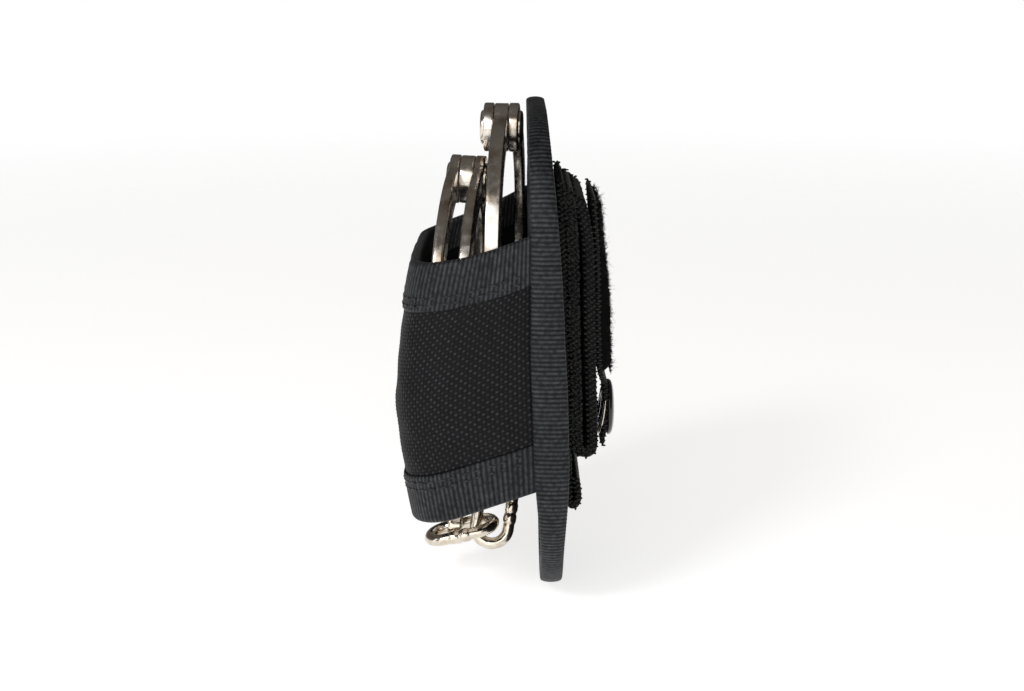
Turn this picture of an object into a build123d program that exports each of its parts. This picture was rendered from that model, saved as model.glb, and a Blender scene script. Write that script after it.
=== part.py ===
from build123d import *
import os
from math import cos, radians, sin

os.makedirs("parts", exist_ok=True)

# An open-top duty-belt pouch that holds a pair of chain handcuffs.
# Millimetres. The origin is the middle of the belt channel: X runs along the belt, +Y is the
# wearer's side, -Y is the front of the pouch and +Z is up.

# ---- padded back panel ----
PANEL_WIDTH = 82.0
PANEL_TOP = 60.0
PANEL_BOTTOM = -68.5
PANEL_TOP_RADIUS = 29.0
PANEL_BOTTOM_RADIUS = 40.0
PANEL_FRONT = -12.6
PANEL_BACK = -5.4
SKIN = 0.9
TAPE = 0.7
PANEL_LIP = 8.0

# ---- pouch band ----
BAND_HALF_WIDTH = 39.8
BAND_CORNER = 8.0
BAND_CLOTH = 1.2
BAND_TAPE_WIDTH = 11.0
BAND_OPEN_BACK = 1.0
BAND_BACK = PANEL_FRONT - TAPE
# height of each section, and how far forward the band reaches there
BAND_SECTIONS = [(-54.0, -39.2), (-32.5, -43.8), (-10.5, -47.0), (11.5, -44.6), (40.0, -40.0)]
BAND_TOP_FRONT = (-41.5, 22.0)
BAND_TOP_BACK = (BAND_BACK, 31.0)
BAND_BOTTOM_FRONT = (-41.5, -43.5)
BAND_BOTTOM_BACK = (BAND_BACK, -31.5)

# ---- belt loop and its keeper on the back ----
STRAP_WIDTH = 38.0
STRAP_LEG = 3.0
CHANNEL_GAP = 0.8
CHANNEL_HEIGHT = 55.0
CHANNEL_TOP = CHANNEL_HEIGHT / 2
LADDER_BACK = -(CHANNEL_GAP / 2 + STRAP_LEG)
LADDER_TOP = 40.5
LADDER_BOTTOM = -44.5
LADDER_FOLD_TOP = -36.5
LADDER_FOLD_BACK = -1.2
LADDER_FOLD_ROUND = 1.4
LOOP_TOP_INNER = 39.0
LOOP_TOP_OUTER = 34.0
KEEPER_WIDTH = 36.0
KEEPER_TAPE = 1.4
KEEPER_GAP = 0.1
KEEPER_TOP = 36.3
KEEPER_BOTTOM = -30.9
KEEPER_STEP = 2.2
KEEPER_TAB_HALF = 6.5
KEEPER_TAB_TOP = -14.0
KEEPER_STEP_TOP = -9.0
KEEPER_STEP_BOTTOM = -12.5
PILE_THICKNESS = 2.7
PILE_TOP = 35.0
PILE_BOTTOM = -8.0
PILE_MARGIN = 1.0
PILE_CORNER = 2.0
SNAP_HEIGHT = -22.0
SNAP_CAP_RADIUS = 7.5
SNAP_CAP_DOME = 2.0
SNAP_STUD_RADIUS = 6.2
SNAP_STUD_FLANGE = 0.8
SNAP_POST_RADIUS = 2.0
SNAP_POST_LENGTH = 1.2
SNAP_SOCKET_RADIUS = 6.9
SNAP_RUNNING_GAP = 0.1
SNAP_POST_ROUND = 0.4
SNAP_SOCKET_ROUND = 0.5
SNAP_CAP_ROUND = 1.6

# ---- handcuffs ----
RING_DROP = 31.5
RING_OUTER = 35.5
RING_INNER = 27.5
KNUCKLE_RADIUS = 6.25
CHEEK = 2.6
CHEEK_GAP = 3.8
ARM_THICKNESS = 3.6
CASE_BOTTOM = -83.0
CASE_TOP = -50.0
CASE_WIDTH = 46.0
CASE_CORNER = 9.0
RIVET_RADIUS = 2.5
RIVET_HEAD_RADIUS = 4.4
RIVET_HEAD = 0.9
PIVOT_FIT = 0.05
CASE_RIVET_RADIUS = 1.5
CASE_RIVET_PLACES = [(-17.5, -76.5), (17.5, -76.5), (18.5, -66.8)]
CASE_RIVET_PROUD = 0.25
RIVET_HEAD_ROUND = 0.8
CORE_CLEARANCE = 0.4
ARM_OUTER_PLAY = 0.3
ARM_INNER_PLAY = 0.2
ARM_KNUCKLE_PLAY = 0.1
ARM_START_ANGLE = 90.0
TOOTH_COUNT = 18
TOOTH_PITCH = 4.0
TOOTH_DEPTH = 1.2
TOOTH_HALF_LENGTH = 1.2
TOOTH_CUT_ABOVE = 0.4
TOOTH_FIRST = 0.6
ARM_TIP_ANGLE = 15.0
PAWL_LENGTH = 16.0
PAWL_HEIGHT = 4.2
PAWL_PIVOT = (5.6, -70.0)
PAWL_PIN_RADIUS = 0.9
PAWL_THICKNESS = 3.4
PAWL_SHIFT = 0.9
PAWL_TEETH = 3
PAWL_TOOTH_DEPTH = 0.4
PAWL_TOOTH_HALF = 1.0
PAWL_TOOTH_FIRST = 3.0
PAWL_TOOTH_PITCH = 2.0
PAWL_POCKET_SHIFT = 1.2
PAWL_POCKET_DROP = 0.4
PAWL_POCKET_LENGTH = 19.0
PAWL_POCKET_HEIGHT = 7.6
SPRING_LENGTH = 13.0
SPRING_LEAF = 0.3
SPRING_WIDTH = 2.6
LOCK_BAR_HEIGHT = 1.6
LOCK_BAR_LENGTH = 9.0
LOCK_BAR_TRAVEL = 2.0
LOCK_BAR_END_PLAY = 0.4
LOCK_BAR_SLOT_PLAY = 0.2
LOCK_BAR_PLACE = (-10.4, -75.6)
KEYHOLE = (11.6, -75.0)
KEYHOLE_RADIUS = 2.3
KEY_POCKET_PLAY = 0.4
KEY_POST_SHORT = 0.3
KEY_POST_RADIUS = 0.9
STEM_RADIUS = 2.03
STEM_BORE = 2.1
STEM_HEAD_RADIUS = 3.2
STEM_HEAD_BORE = 3.3
STEM_HEAD_TOP = 5.8
STEM_HEAD_HEIGHT = 2.0
STEM_END_PLAY = 0.2
STEM_BORE_RUN_OUT = 1.0
STEM_INTO_EYE = 0.6
EYE_DROP = 11.9
EYE_RADIUS = 5.1
EYE_HOLE = 2.5
EYE_THICKNESS = 3.9
EYE_EDGE = 0.5

# Cuff A is the front one, its double strand on the near side (+X); cuff B is the rear one, turned
# round, with its single strand near. Yaw turns the near side forward and pitch brings the
# lower end forward.
CUFF_A_RIVET = (0.0, -28.9, 39.1)
CUFF_A_YAW = 5.5
CUFF_A_PITCH = 2.3
CUFF_B_RIVET = (0.0, -20.2, 52.5)
CUFF_B_YAW = 3.5
CUFF_B_PITCH = 0.5

# ---- chain ----
LINK_LENGTH = 21.0
LINK_WIDTH = 12.0
LINK_WIRE = 1.6
WELD_RADIUS = 1.85
WELD_LENGTH = 1.9
WELD_GAP = 0.4
LINK_1_SLOPE = 15.0
LINK_1_ROLL = 3.0
LINK_1_BACK_SHIFT = 2.0
LINK_2_LEAN = 9.0
LINK_2_TILT = 17.0
LINK_2_SEAT = (0.5, 0.0, 0.4)


def keep(part, node):
    """Name a finished piece and write it."""
    part.label = node
    export_step(part, f"parts/{node}.step")


def front_plane(y):
    """The upright plane at y, drawn as seen from the front, with its normal to the front."""
    return Plane(origin=(0, y, 0), x_dir=(1, 0, 0), z_dir=(0, -1, 0))


def side_plane(x):
    """The upright plane at x, drawn in Y and Z, with its normal along +X."""
    return Plane(origin=(x, 0, 0), x_dir=(0, 1, 0), z_dir=(1, 0, 0))


# ================= back panel =================
def panel_outline(inset):
    """The panel's outline: arched shoulders above and one broad arc below."""
    height = PANEL_TOP - PANEL_BOTTOM
    with BuildSketch() as outline:
        with Locations((0, PANEL_BOTTOM)):
            Rectangle(PANEL_WIDTH, height, align=(Align.CENTER, Align.MIN))
        fillet(outline.vertices().group_by(Axis.Y)[-1], PANEL_TOP_RADIUS)
        fillet(outline.vertices().group_by(Axis.Y)[0], PANEL_BOTTOM_RADIUS)
        if inset:
            offset(amount=-inset)
    return outline.sketch


panel_edge = panel_outline(0)
panel_cloth = panel_outline(TAPE)
panel_open = panel_outline(PANEL_LIP)

with BuildPart() as back_panel_face:
    with BuildSketch(front_plane(PANEL_FRONT + SKIN)):
        add(panel_cloth)
    extrude(amount=SKIN)
keep(back_panel_face.part, "back_panel_face")

with BuildPart() as back_panel_core:
    with BuildSketch(front_plane(PANEL_BACK - SKIN)):
        add(panel_cloth)
    extrude(amount=PANEL_BACK - PANEL_FRONT - 2 * SKIN)
keep(back_panel_core.part, "back_panel_core")

with BuildPart() as back_panel_back:
    with BuildSketch(front_plane(PANEL_BACK)):
        add(panel_cloth)
    extrude(amount=SKIN)
keep(back_panel_back.part, "back_panel_back")

with BuildPart() as panel_binding:
    with BuildSketch(front_plane(PANEL_BACK + TAPE)):
        add(panel_edge)
    extrude(amount=PANEL_BACK - PANEL_FRONT + 2 * TAPE)
    with BuildSketch(front_plane(PANEL_BACK + TAPE)):
        add(panel_open)
    extrude(amount=PANEL_BACK - PANEL_FRONT + 2 * TAPE, mode=Mode.SUBTRACT)
    with BuildSketch(front_plane(PANEL_BACK)):
        add(panel_cloth)
    extrude(amount=PANEL_BACK - PANEL_FRONT, mode=Mode.SUBTRACT)
keep(panel_binding.part, "panel_binding")


# ================= pouch band =================
def band_body(grow):
    """The space inside the band's outer face, grown by a thickness: box-like in plan, bulged."""
    half = BAND_HALF_WIDTH + grow
    with BuildPart() as body:
        for height, front in BAND_SECTIONS:
            depth = BAND_BACK - front + grow
            with BuildSketch(Plane.XY.offset(height)) as section:
                with Locations((0, BAND_BACK)):
                    Rectangle(2 * half, depth, align=(Align.CENTER, Align.MAX))
                fillet(section.vertices().group_by(Axis.Y)[0], BAND_CORNER + grow)
        loft()
    return body.part


def slope_plane(front, back, rise):
    """A plane through two (y, z) points of an edge, raised square to itself by rise."""
    (y0, z0), (y1, z1) = front, back
    run = Vector(0, y1 - y0, z1 - z0).normalized()
    normal = Vector(1, 0, 0).cross(run)
    return Plane(origin=Vector(0, y0, z0) + normal * rise, x_dir=(1, 0, 0), z_dir=normal)


def band_layer(outer, inner, low, high):
    """A band of cloth between two faces of the pouch and between two slanting edges."""
    with BuildPart() as layer:
        add(outer)
        add(inner, mode=Mode.SUBTRACT)
        split(bisect_by=low, keep=Keep.TOP)
        split(bisect_by=high, keep=Keep.BOTTOM)
    return layer.part


def binding(outer, cloth, inner, low, high):
    """A folded tape over the band's edge: outside, inside and across the edge."""
    with BuildPart() as tape:
        add(band_layer(outer, inner, low, high))
        add(cloth, mode=Mode.SUBTRACT)
    return tape.part


def hollow(grow):
    """What is taken out of the band: its inner space, run through the panel side."""
    with BuildPart() as space:
        add(band_body(grow))
        with BuildSketch(front_plane(BAND_BACK + BAND_OPEN_BACK)):
            Rectangle(2 * (BAND_HALF_WIDTH + grow), 2 * (PANEL_TOP - PANEL_BOTTOM))
        extrude(amount=BAND_CORNER / 2)
    return space.part


top_edge = slope_plane(BAND_TOP_FRONT, BAND_TOP_BACK, 0)
top_cap = slope_plane(BAND_TOP_FRONT, BAND_TOP_BACK, TAPE)
top_tape_low = slope_plane(BAND_TOP_FRONT, BAND_TOP_BACK, TAPE - BAND_TAPE_WIDTH)
bottom_edge = slope_plane(BAND_BOTTOM_FRONT, BAND_BOTTOM_BACK, 0)
bottom_cap = slope_plane(BAND_BOTTOM_FRONT, BAND_BOTTOM_BACK, -TAPE)
bottom_tape_high = slope_plane(BAND_BOTTOM_FRONT, BAND_BOTTOM_BACK, BAND_TAPE_WIDTH - TAPE)

cloth_outer = band_body(0)
cloth_inner = hollow(-BAND_CLOTH)
tape_outer = band_body(TAPE)
tape_inner = hollow(-BAND_CLOTH - TAPE)

with BuildPart() as pouch_band:
    add(band_layer(cloth_outer, cloth_inner, bottom_edge, top_edge))
keep(pouch_band.part, "pouch_band")

with BuildPart() as band_top_binding:
    add(binding(tape_outer, pouch_band.part, tape_inner, top_tape_low, top_cap))
keep(band_top_binding.part, "band_top_binding")

with BuildPart() as band_bottom_binding:
    add(binding(tape_outer, pouch_band.part, tape_inner, bottom_cap, bottom_tape_high))
keep(band_bottom_binding.part, "band_bottom_binding")

# ================= straps on the back =================
with BuildPart() as ladder_webbing:
    with BuildSketch(side_plane(-STRAP_WIDTH / 2)):
        with BuildLine():
            Polyline(
                (PANEL_BACK, LADDER_BOTTOM),
                (LADDER_FOLD_BACK, LADDER_BOTTOM),
                (LADDER_FOLD_BACK, LADDER_FOLD_TOP),
                (LADDER_BACK, LADDER_FOLD_TOP),
                (LADDER_BACK, LADDER_TOP),
                (PANEL_BACK, LADDER_TOP),
                close=True,
            )
        make_face()
    extrude(amount=STRAP_WIDTH)
    fillet(ladder_webbing.edges().filter_by(Axis.X).group_by(Axis.Y)[-1], LADDER_FOLD_ROUND)
keep(ladder_webbing.part, "ladder_webbing")

LOOP_OUTER = CHANNEL_GAP / 2 + STRAP_LEG
LOOP_TURN = -CHANNEL_TOP + CHANNEL_GAP / 2
with BuildPart() as belt_loop_webbing:
    with BuildSketch(side_plane(-STRAP_WIDTH / 2)):
        with BuildLine():
            Polyline(
                (-LOOP_OUTER, LOOP_TURN),
                (-LOOP_OUTER, LOOP_TOP_INNER),
                (LOOP_OUTER, LOOP_TOP_OUTER),
                (LOOP_OUTER, LOOP_TURN),
            )
            ThreePointArc((LOOP_OUTER, LOOP_TURN), (0, LOOP_TURN - LOOP_OUTER), (-LOOP_OUTER, LOOP_TURN))
        make_face()
        with Locations((0, 0)):
            SlotOverall(CHANNEL_HEIGHT, CHANNEL_GAP, rotation=90, mode=Mode.SUBTRACT)
    extrude(amount=STRAP_WIDTH)
keep(belt_loop_webbing.part, "belt_loop_webbing")

KEEPER_INNER = LOOP_OUTER + KEEPER_GAP
KEEPER_OUTER = KEEPER_INNER + KEEPER_TAPE
with BuildPart() as keeper_tab:
    with BuildSketch(side_plane(-KEEPER_WIDTH / 2)):
        with BuildLine():
            Polyline(
                (KEEPER_INNER, KEEPER_TOP),
                (KEEPER_INNER, KEEPER_STEP_TOP),
                (KEEPER_INNER + KEEPER_STEP, KEEPER_STEP_BOTTOM),
                (KEEPER_INNER + KEEPER_STEP, KEEPER_BOTTOM),
                (KEEPER_OUTER + KEEPER_STEP, KEEPER_BOTTOM),
                (KEEPER_OUTER + KEEPER_STEP, KEEPER_STEP_BOTTOM),
                (KEEPER_OUTER, KEEPER_STEP_TOP),
                (KEEPER_OUTER, KEEPER_TOP),
                close=True,
            )
        make_face()
        with Locations((KEEPER_INNER + KEEPER_TAPE / 2, KEEPER_TOP)):
            Circle(KEEPER_TAPE / 2)
    extrude(amount=KEEPER_WIDTH)
    for side in (1, -1):
        with BuildSketch(front_plane(0)):
            Polygon(
                (side * KEEPER_WIDTH, KEEPER_STEP_TOP),
                (side * KEEPER_WIDTH / 2, KEEPER_STEP_TOP),
                (side * KEEPER_TAB_HALF, KEEPER_TAB_TOP),
                (side * KEEPER_TAB_HALF, KEEPER_BOTTOM - KEEPER_TAPE),
                (side * KEEPER_WIDTH, KEEPER_BOTTOM - KEEPER_TAPE),
                align=None,
            )
        extrude(amount=-4 * KEEPER_INNER, mode=Mode.SUBTRACT)
keep(keeper_tab.part, "keeper_tab")

with BuildPart() as pile_face:
    with BuildSketch(front_plane(KEEPER_OUTER + PILE_THICKNESS)):
        with Locations((0, (PILE_TOP + PILE_BOTTOM) / 2)):
            RectangleRounded(KEEPER_WIDTH - 2 * PILE_MARGIN, PILE_TOP - PILE_BOTTOM, PILE_CORNER)
    extrude(amount=PILE_THICKNESS)
keep(pile_face.part, "pile_face")

# ---- press snap that holds the keeper shut ----
STUD_FACE = LOOP_OUTER + SNAP_STUD_FLANGE
SOCKET_INNER = STUD_FACE + SNAP_RUNNING_GAP
SOCKET_OUTER = KEEPER_INNER + KEEPER_STEP
CAP_INNER = KEEPER_OUTER + KEEPER_STEP

with BuildPart() as snap_stud:
    with BuildSketch(front_plane(STUD_FACE)):
        with Locations((0, SNAP_HEIGHT)):
            Circle(SNAP_STUD_RADIUS)
    extrude(amount=SNAP_STUD_FLANGE)
    with BuildSketch(front_plane(STUD_FACE + SNAP_POST_LENGTH)):
        with Locations((0, SNAP_HEIGHT)):
            Circle(SNAP_POST_RADIUS)
    extrude(amount=SNAP_POST_LENGTH)
    fillet(snap_stud.edges().group_by(Axis.Y)[-1], SNAP_POST_ROUND)
keep(snap_stud.part, "snap_stud")

with BuildPart() as snap_socket:
    with BuildSketch(front_plane(SOCKET_OUTER)):
        with Locations((0, SNAP_HEIGHT)):
            Circle(SNAP_SOCKET_RADIUS)
            Circle(SNAP_POST_RADIUS + SNAP_RUNNING_GAP, mode=Mode.SUBTRACT)
    extrude(amount=SOCKET_OUTER - SOCKET_INNER)
    fillet(snap_socket.edges().group_by(Axis.Y)[0].sort_by(SortBy.RADIUS)[-1], SNAP_SOCKET_ROUND)
keep(snap_socket.part, "snap_socket")

with BuildPart() as snap_cap:
    with BuildSketch(front_plane(CAP_INNER + SNAP_CAP_DOME)):
        with Locations((0, SNAP_HEIGHT)):
            Circle(SNAP_CAP_RADIUS)
    extrude(amount=SNAP_CAP_DOME)
    fillet(snap_cap.edges().group_by(Axis.Y)[-1], SNAP_CAP_ROUND)
keep(snap_cap.part, "snap_cap")


# ================= handcuffs =================
def cuff_plane(rivet, yaw, pitch):
    """A cuff's own plane: origin on its hinge rivet, x to the near side, y up, z to the front."""
    turn = Vector(cos(radians(yaw)), -sin(radians(yaw)), 0)
    front = Vector(-sin(radians(yaw)), -cos(radians(yaw)), 0)
    normal = front * cos(radians(pitch)) + Vector(0, 0, 1) * sin(radians(pitch))
    return Plane(origin=rivet, x_dir=turn, z_dir=normal)


def stem_plane(plane):
    """The plane across a cuff's swivel stem at the case's lower edge, with its normal down."""
    origin = plane.from_local_coords((0, CASE_BOTTOM, 0))
    return Plane(origin=origin, x_dir=plane.x_dir, z_dir=-plane.y_dir)


def case_block():
    """The lock case's outline before its upper edge is cut to the wrist opening."""
    with BuildSketch() as block:
        with Locations((0, (CASE_BOTTOM + CASE_TOP) / 2)):
            RectangleRounded(CASE_WIDTH, CASE_TOP - CASE_BOTTOM, CASE_CORNER)
    return block.sketch


def cheek_outline(side):
    """One side plate: half ring, knuckle and lock case in one, strand on the given side."""
    with BuildSketch() as outline:
        with Locations((0, -RING_DROP)):
            Circle(RING_OUTER)
        with Locations((side * RING_OUTER, -RING_DROP)):
            Rectangle(2 * RING_OUTER, 4 * RING_OUTER, mode=Mode.INTERSECT)
        add(case_block())
        with Locations((0, -RING_DROP)):
            Circle(RING_INNER, mode=Mode.SUBTRACT)
        Circle(KNUCKLE_RADIUS)
        with Locations(mirrored(CASE_RIVET_PLACES, side)):
            Circle(CASE_RIVET_RADIUS, mode=Mode.SUBTRACT)
        with Locations(mirrored([PAWL_PIVOT], side)):
            Circle(PAWL_PIN_RADIUS, mode=Mode.SUBTRACT)
        Circle(RIVET_RADIUS, mode=Mode.SUBTRACT)
    return outline.sketch


def mirrored(places, side):
    """Places in a cuff's plane, turned to the other side where its strand is there."""
    return [(side * x, y) for x, y in places]


def cut_stem_bore(plane):
    """The bore and head pocket of the swivel, as one solid to take out of the lock case."""
    across = stem_plane(plane)
    with BuildPart() as bore:
        with BuildSketch(across.offset(STEM_BORE_RUN_OUT)):
            Circle(STEM_BORE)
        extrude(amount=-STEM_HEAD_TOP - STEM_BORE_RUN_OUT)
        with BuildSketch(across.offset(-STEM_HEAD_TOP + STEM_HEAD_HEIGHT + STEM_END_PLAY)):
            Circle(STEM_HEAD_BORE)
        extrude(amount=-STEM_HEAD_HEIGHT - 2 * STEM_END_PLAY)
    return bore.part


def make_cheek(node, plane, side, bore, facing, keyhole):
    """A side plate on the cuff's front (facing 1) or rear (facing -1)."""
    outline = cheek_outline(side)
    start = facing * CHEEK_GAP / 2
    with BuildPart() as cheek:
        with BuildSketch(plane.offset(start)):
            add(outline)
            if keyhole:
                with Locations(mirrored([KEYHOLE], side)):
                    Circle(KEYHOLE_RADIUS, mode=Mode.SUBTRACT)
        extrude(amount=facing * CHEEK)
        add(bore, mode=Mode.SUBTRACT)
    keep(cheek.part, node)


def make_lock_core(node, plane, side, bore):
    """The filler between the side plates below the arm's path, with the lock's pockets."""
    with BuildPart() as core:
        with BuildSketch(plane.offset(-CHEEK_GAP / 2)):
            add(case_block())
            Circle(RING_DROP + RING_OUTER + CORE_CLEARANCE, mode=Mode.SUBTRACT)
            with Locations(mirrored(CASE_RIVET_PLACES, side)):
                Circle(CASE_RIVET_RADIUS, mode=Mode.SUBTRACT)
            with Locations((-side * PAWL_POCKET_SHIFT, PAWL_PIVOT[1] - PAWL_POCKET_DROP)):
                Rectangle(PAWL_POCKET_LENGTH, PAWL_POCKET_HEIGHT, mode=Mode.SUBTRACT)
            with Locations((side * (LOCK_BAR_PLACE[0] + LOCK_BAR_TRAVEL / 2), LOCK_BAR_PLACE[1])):
                length = LOCK_BAR_LENGTH + LOCK_BAR_TRAVEL + LOCK_BAR_END_PLAY
                Rectangle(length, LOCK_BAR_HEIGHT + LOCK_BAR_SLOT_PLAY, mode=Mode.SUBTRACT)
            with Locations(mirrored([KEYHOLE], side)):
                Circle(KEYHOLE_RADIUS + KEY_POCKET_PLAY, mode=Mode.SUBTRACT)
        extrude(amount=CHEEK_GAP)
        add(bore, mode=Mode.SUBTRACT)
    keep(core.part, node)


def make_arm(node, plane, side):
    """The toothed single strand: a flat arc hung on the rivet, its teeth on the outer edge."""
    outer = RING_OUTER - ARM_OUTER_PLAY
    inner = RING_INNER + ARM_INNER_PLAY
    sweep = side * (180 + ARM_TIP_ANGLE)
    centre = (0, -RING_DROP)
    tip_radius = (outer - inner) / 2
    tip = radians(ARM_START_ANGLE + sweep)
    tip_centre = (
        (outer + inner) / 2 * cos(tip),
        (outer + inner) / 2 * sin(tip) - RING_DROP,
    )
    with BuildPart() as arm:
        with BuildSketch(plane.offset(-ARM_THICKNESS / 2)):
            with BuildLine():
                outside = CenterArc(centre, outer, ARM_START_ANGLE, sweep)
                inside = CenterArc(centre, inner, ARM_START_ANGLE, sweep)
                Line(outside @ 0, inside @ 0)
                Line(outside @ 1, inside @ 1)
            make_face()
            Circle(KNUCKLE_RADIUS - ARM_KNUCKLE_PLAY)
            with Locations(tip_centre):
                Circle(tip_radius)
            for tooth in range(TOOTH_COUNT):
                angle = ARM_START_ANGLE + sweep - side * TOOTH_PITCH * (tooth + TOOTH_FIRST)
                place = Location((0, -RING_DROP, 0), (0, 0, angle))
                with Locations(place):
                    Polygon(
                        (outer + TOOTH_CUT_ABOVE, -side * TOOTH_HALF_LENGTH),
                        (outer + TOOTH_CUT_ABOVE, side * TOOTH_HALF_LENGTH),
                        (outer - TOOTH_DEPTH, side * TOOTH_HALF_LENGTH),
                        align=None,
                        mode=Mode.SUBTRACT,
                    )
            Circle(RIVET_RADIUS + PIVOT_FIT, mode=Mode.SUBTRACT)
        extrude(amount=ARM_THICKNESS)
    keep(arm.part, node)


def make_hinge_rivet(node, plane):
    """The headed rivet at the top of a cuff."""
    half = CHEEK_GAP / 2 + CHEEK
    through = Axis(plane.origin, plane.z_dir)
    with BuildPart() as rivet:
        with BuildSketch(plane.offset(-half)):
            Circle(RIVET_RADIUS)
        extrude(amount=2 * half)
        for facing in (1, -1):
            with BuildSketch(plane.offset(facing * half)):
                Circle(RIVET_HEAD_RADIUS)
            extrude(amount=facing * RIVET_HEAD)
        ends = rivet.faces().filter_by(plane).sort_by(through)
        fillet(ends[0].edges() + ends[-1].edges(), RIVET_HEAD_ROUND)
    keep(rivet.part, node)


def make_case_rivets(node, plane, side):
    """The flush rivets that close the lock case."""
    half = CHEEK_GAP / 2 + CHEEK + CASE_RIVET_PROUD
    with BuildPart() as rivets:
        with BuildSketch(plane.offset(-half)):
            with Locations(mirrored(CASE_RIVET_PLACES, side)):
                Circle(CASE_RIVET_RADIUS)
        extrude(amount=2 * half)
    keep(rivets.part, node)


def make_pawl(node, plane, side):
    """The spring pawl below the arm, its top edge just clear of the teeth."""
    reach = RING_DROP + RING_OUTER + CORE_CLEARANCE
    with BuildPart() as pawl:
        with BuildSketch(plane.offset(-PAWL_THICKNESS / 2)):
            with Locations((-side * PAWL_SHIFT, -reach - PAWL_HEIGHT)):
                Rectangle(PAWL_LENGTH, 2 * PAWL_HEIGHT, align=(Align.CENTER, Align.MIN))
            Circle(reach, mode=Mode.SUBTRACT)
            for tooth in range(PAWL_TEETH):
                turn = -90 - side * (PAWL_TOOTH_FIRST + PAWL_TOOTH_PITCH * tooth)
                place = Location((0, 0, 0), (0, 0, turn))
                with Locations(place):
                    Polygon(
                        (reach - PAWL_TOOTH_DEPTH, -side * PAWL_TOOTH_HALF),
                        (reach - PAWL_TOOTH_DEPTH, side * PAWL_TOOTH_HALF),
                        (reach + PAWL_TOOTH_HALF, side * PAWL_TOOTH_HALF),
                        align=None,
                        mode=Mode.SUBTRACT,
                    )
            with Locations(mirrored([PAWL_PIVOT], side)):
                Circle(PAWL_PIN_RADIUS + PIVOT_FIT, mode=Mode.SUBTRACT)
        extrude(amount=PAWL_THICKNESS)
    keep(pawl.part, node)


def make_pawl_pin(node, plane, side):
    """The pin that the pawl turns on, flush with both side plates."""
    half = CHEEK_GAP / 2 + CHEEK
    with BuildPart() as pin:
        with BuildSketch(plane.offset(-half)):
            with Locations(mirrored([PAWL_PIVOT], side)):
                Circle(PAWL_PIN_RADIUS)
        extrude(amount=2 * half)
    keep(pin.part, node)


def make_pawl_spring(node, plane, side):
    """The leaf spring on the floor of the pawl's pocket."""
    floor = PAWL_PIVOT[1] - PAWL_POCKET_DROP - PAWL_POCKET_HEIGHT / 2
    with BuildPart() as spring:
        with BuildSketch(plane.offset(-SPRING_WIDTH / 2)):
            with Locations((-side * PAWL_POCKET_SHIFT, floor)):
                Rectangle(SPRING_LENGTH, SPRING_LEAF, align=(Align.CENTER, Align.MIN))
        extrude(amount=SPRING_WIDTH)
    keep(spring.part, node)


def make_lock_bar(node, plane, side):
    """The double-lock bar that slides under the pawl."""
    with BuildPart() as bar:
        with BuildSketch(plane.offset(-PAWL_THICKNESS / 2)):
            with Locations(mirrored([LOCK_BAR_PLACE], side)):
                Rectangle(LOCK_BAR_LENGTH, LOCK_BAR_HEIGHT)
        extrude(amount=PAWL_THICKNESS)
    keep(bar.part, node)


def make_key_post(node, plane, side):
    """The post in the middle of the keyhole, standing on the rear side plate."""
    with BuildPart() as post:
        with BuildSketch(plane.offset(-CHEEK_GAP / 2)):
            with Locations(mirrored([KEYHOLE], side)):
                Circle(KEY_POST_RADIUS)
        extrude(amount=CHEEK_GAP + CHEEK - KEY_POST_SHORT)
    keep(post.part, node)


def make_swivel(node, plane):
    """The swivel: a head in the lock case, a stem, and an eye below for the chain."""
    across = stem_plane(plane)
    with BuildPart() as swivel:
        with BuildSketch(plane.offset(-EYE_THICKNESS / 2)):
            with Locations((0, CASE_BOTTOM - EYE_DROP)):
                Circle(EYE_RADIUS)
                Circle(EYE_HOLE, mode=Mode.SUBTRACT)
        extrude(amount=EYE_THICKNESS)
        chamfer(swivel.edges().filter_by(GeomType.CIRCLE), EYE_EDGE)
        with BuildSketch(across.offset(-STEM_HEAD_TOP)):
            Circle(STEM_RADIUS)
        extrude(amount=STEM_HEAD_TOP + EYE_DROP - EYE_RADIUS + STEM_INTO_EYE)
        with BuildSketch(across.offset(-STEM_HEAD_TOP)):
            Circle(STEM_HEAD_RADIUS)
        extrude(amount=STEM_HEAD_HEIGHT)
    keep(swivel.part, node)


def make_cuff(letter, plane, side):
    """Every piece of one handcuff, its double strand on the given side of its plane."""
    name = f"cuff_{letter}"
    bore = cut_stem_bore(plane)
    make_cheek(f"{name}_front_cheek", plane, side, bore, 1, True)
    make_cheek(f"{name}_rear_cheek", plane, side, bore, -1, False)
    make_lock_core(f"{name}_lock_core", plane, side, bore)
    make_arm(f"{name}_ratchet_arm", plane, side)
    make_hinge_rivet(f"{name}_hinge_rivet", plane)
    make_case_rivets(f"{name}_case_rivets", plane, side)
    make_pawl(f"{name}_pawl", plane, side)
    make_pawl_pin(f"{name}_pawl_pin", plane, side)
    make_pawl_spring(f"{name}_pawl_spring", plane, side)
    make_lock_bar(f"{name}_lock_bar", plane, side)
    make_key_post(f"{name}_key_post", plane, side)
    make_swivel(f"{name}_swivel", plane)


plane_a = cuff_plane(CUFF_A_RIVET, CUFF_A_YAW, CUFF_A_PITCH)
plane_b = cuff_plane(CUFF_B_RIVET, CUFF_B_YAW, CUFF_B_PITCH)
make_cuff("a", plane_a, 1)
make_cuff("b", plane_b, -1)


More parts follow.
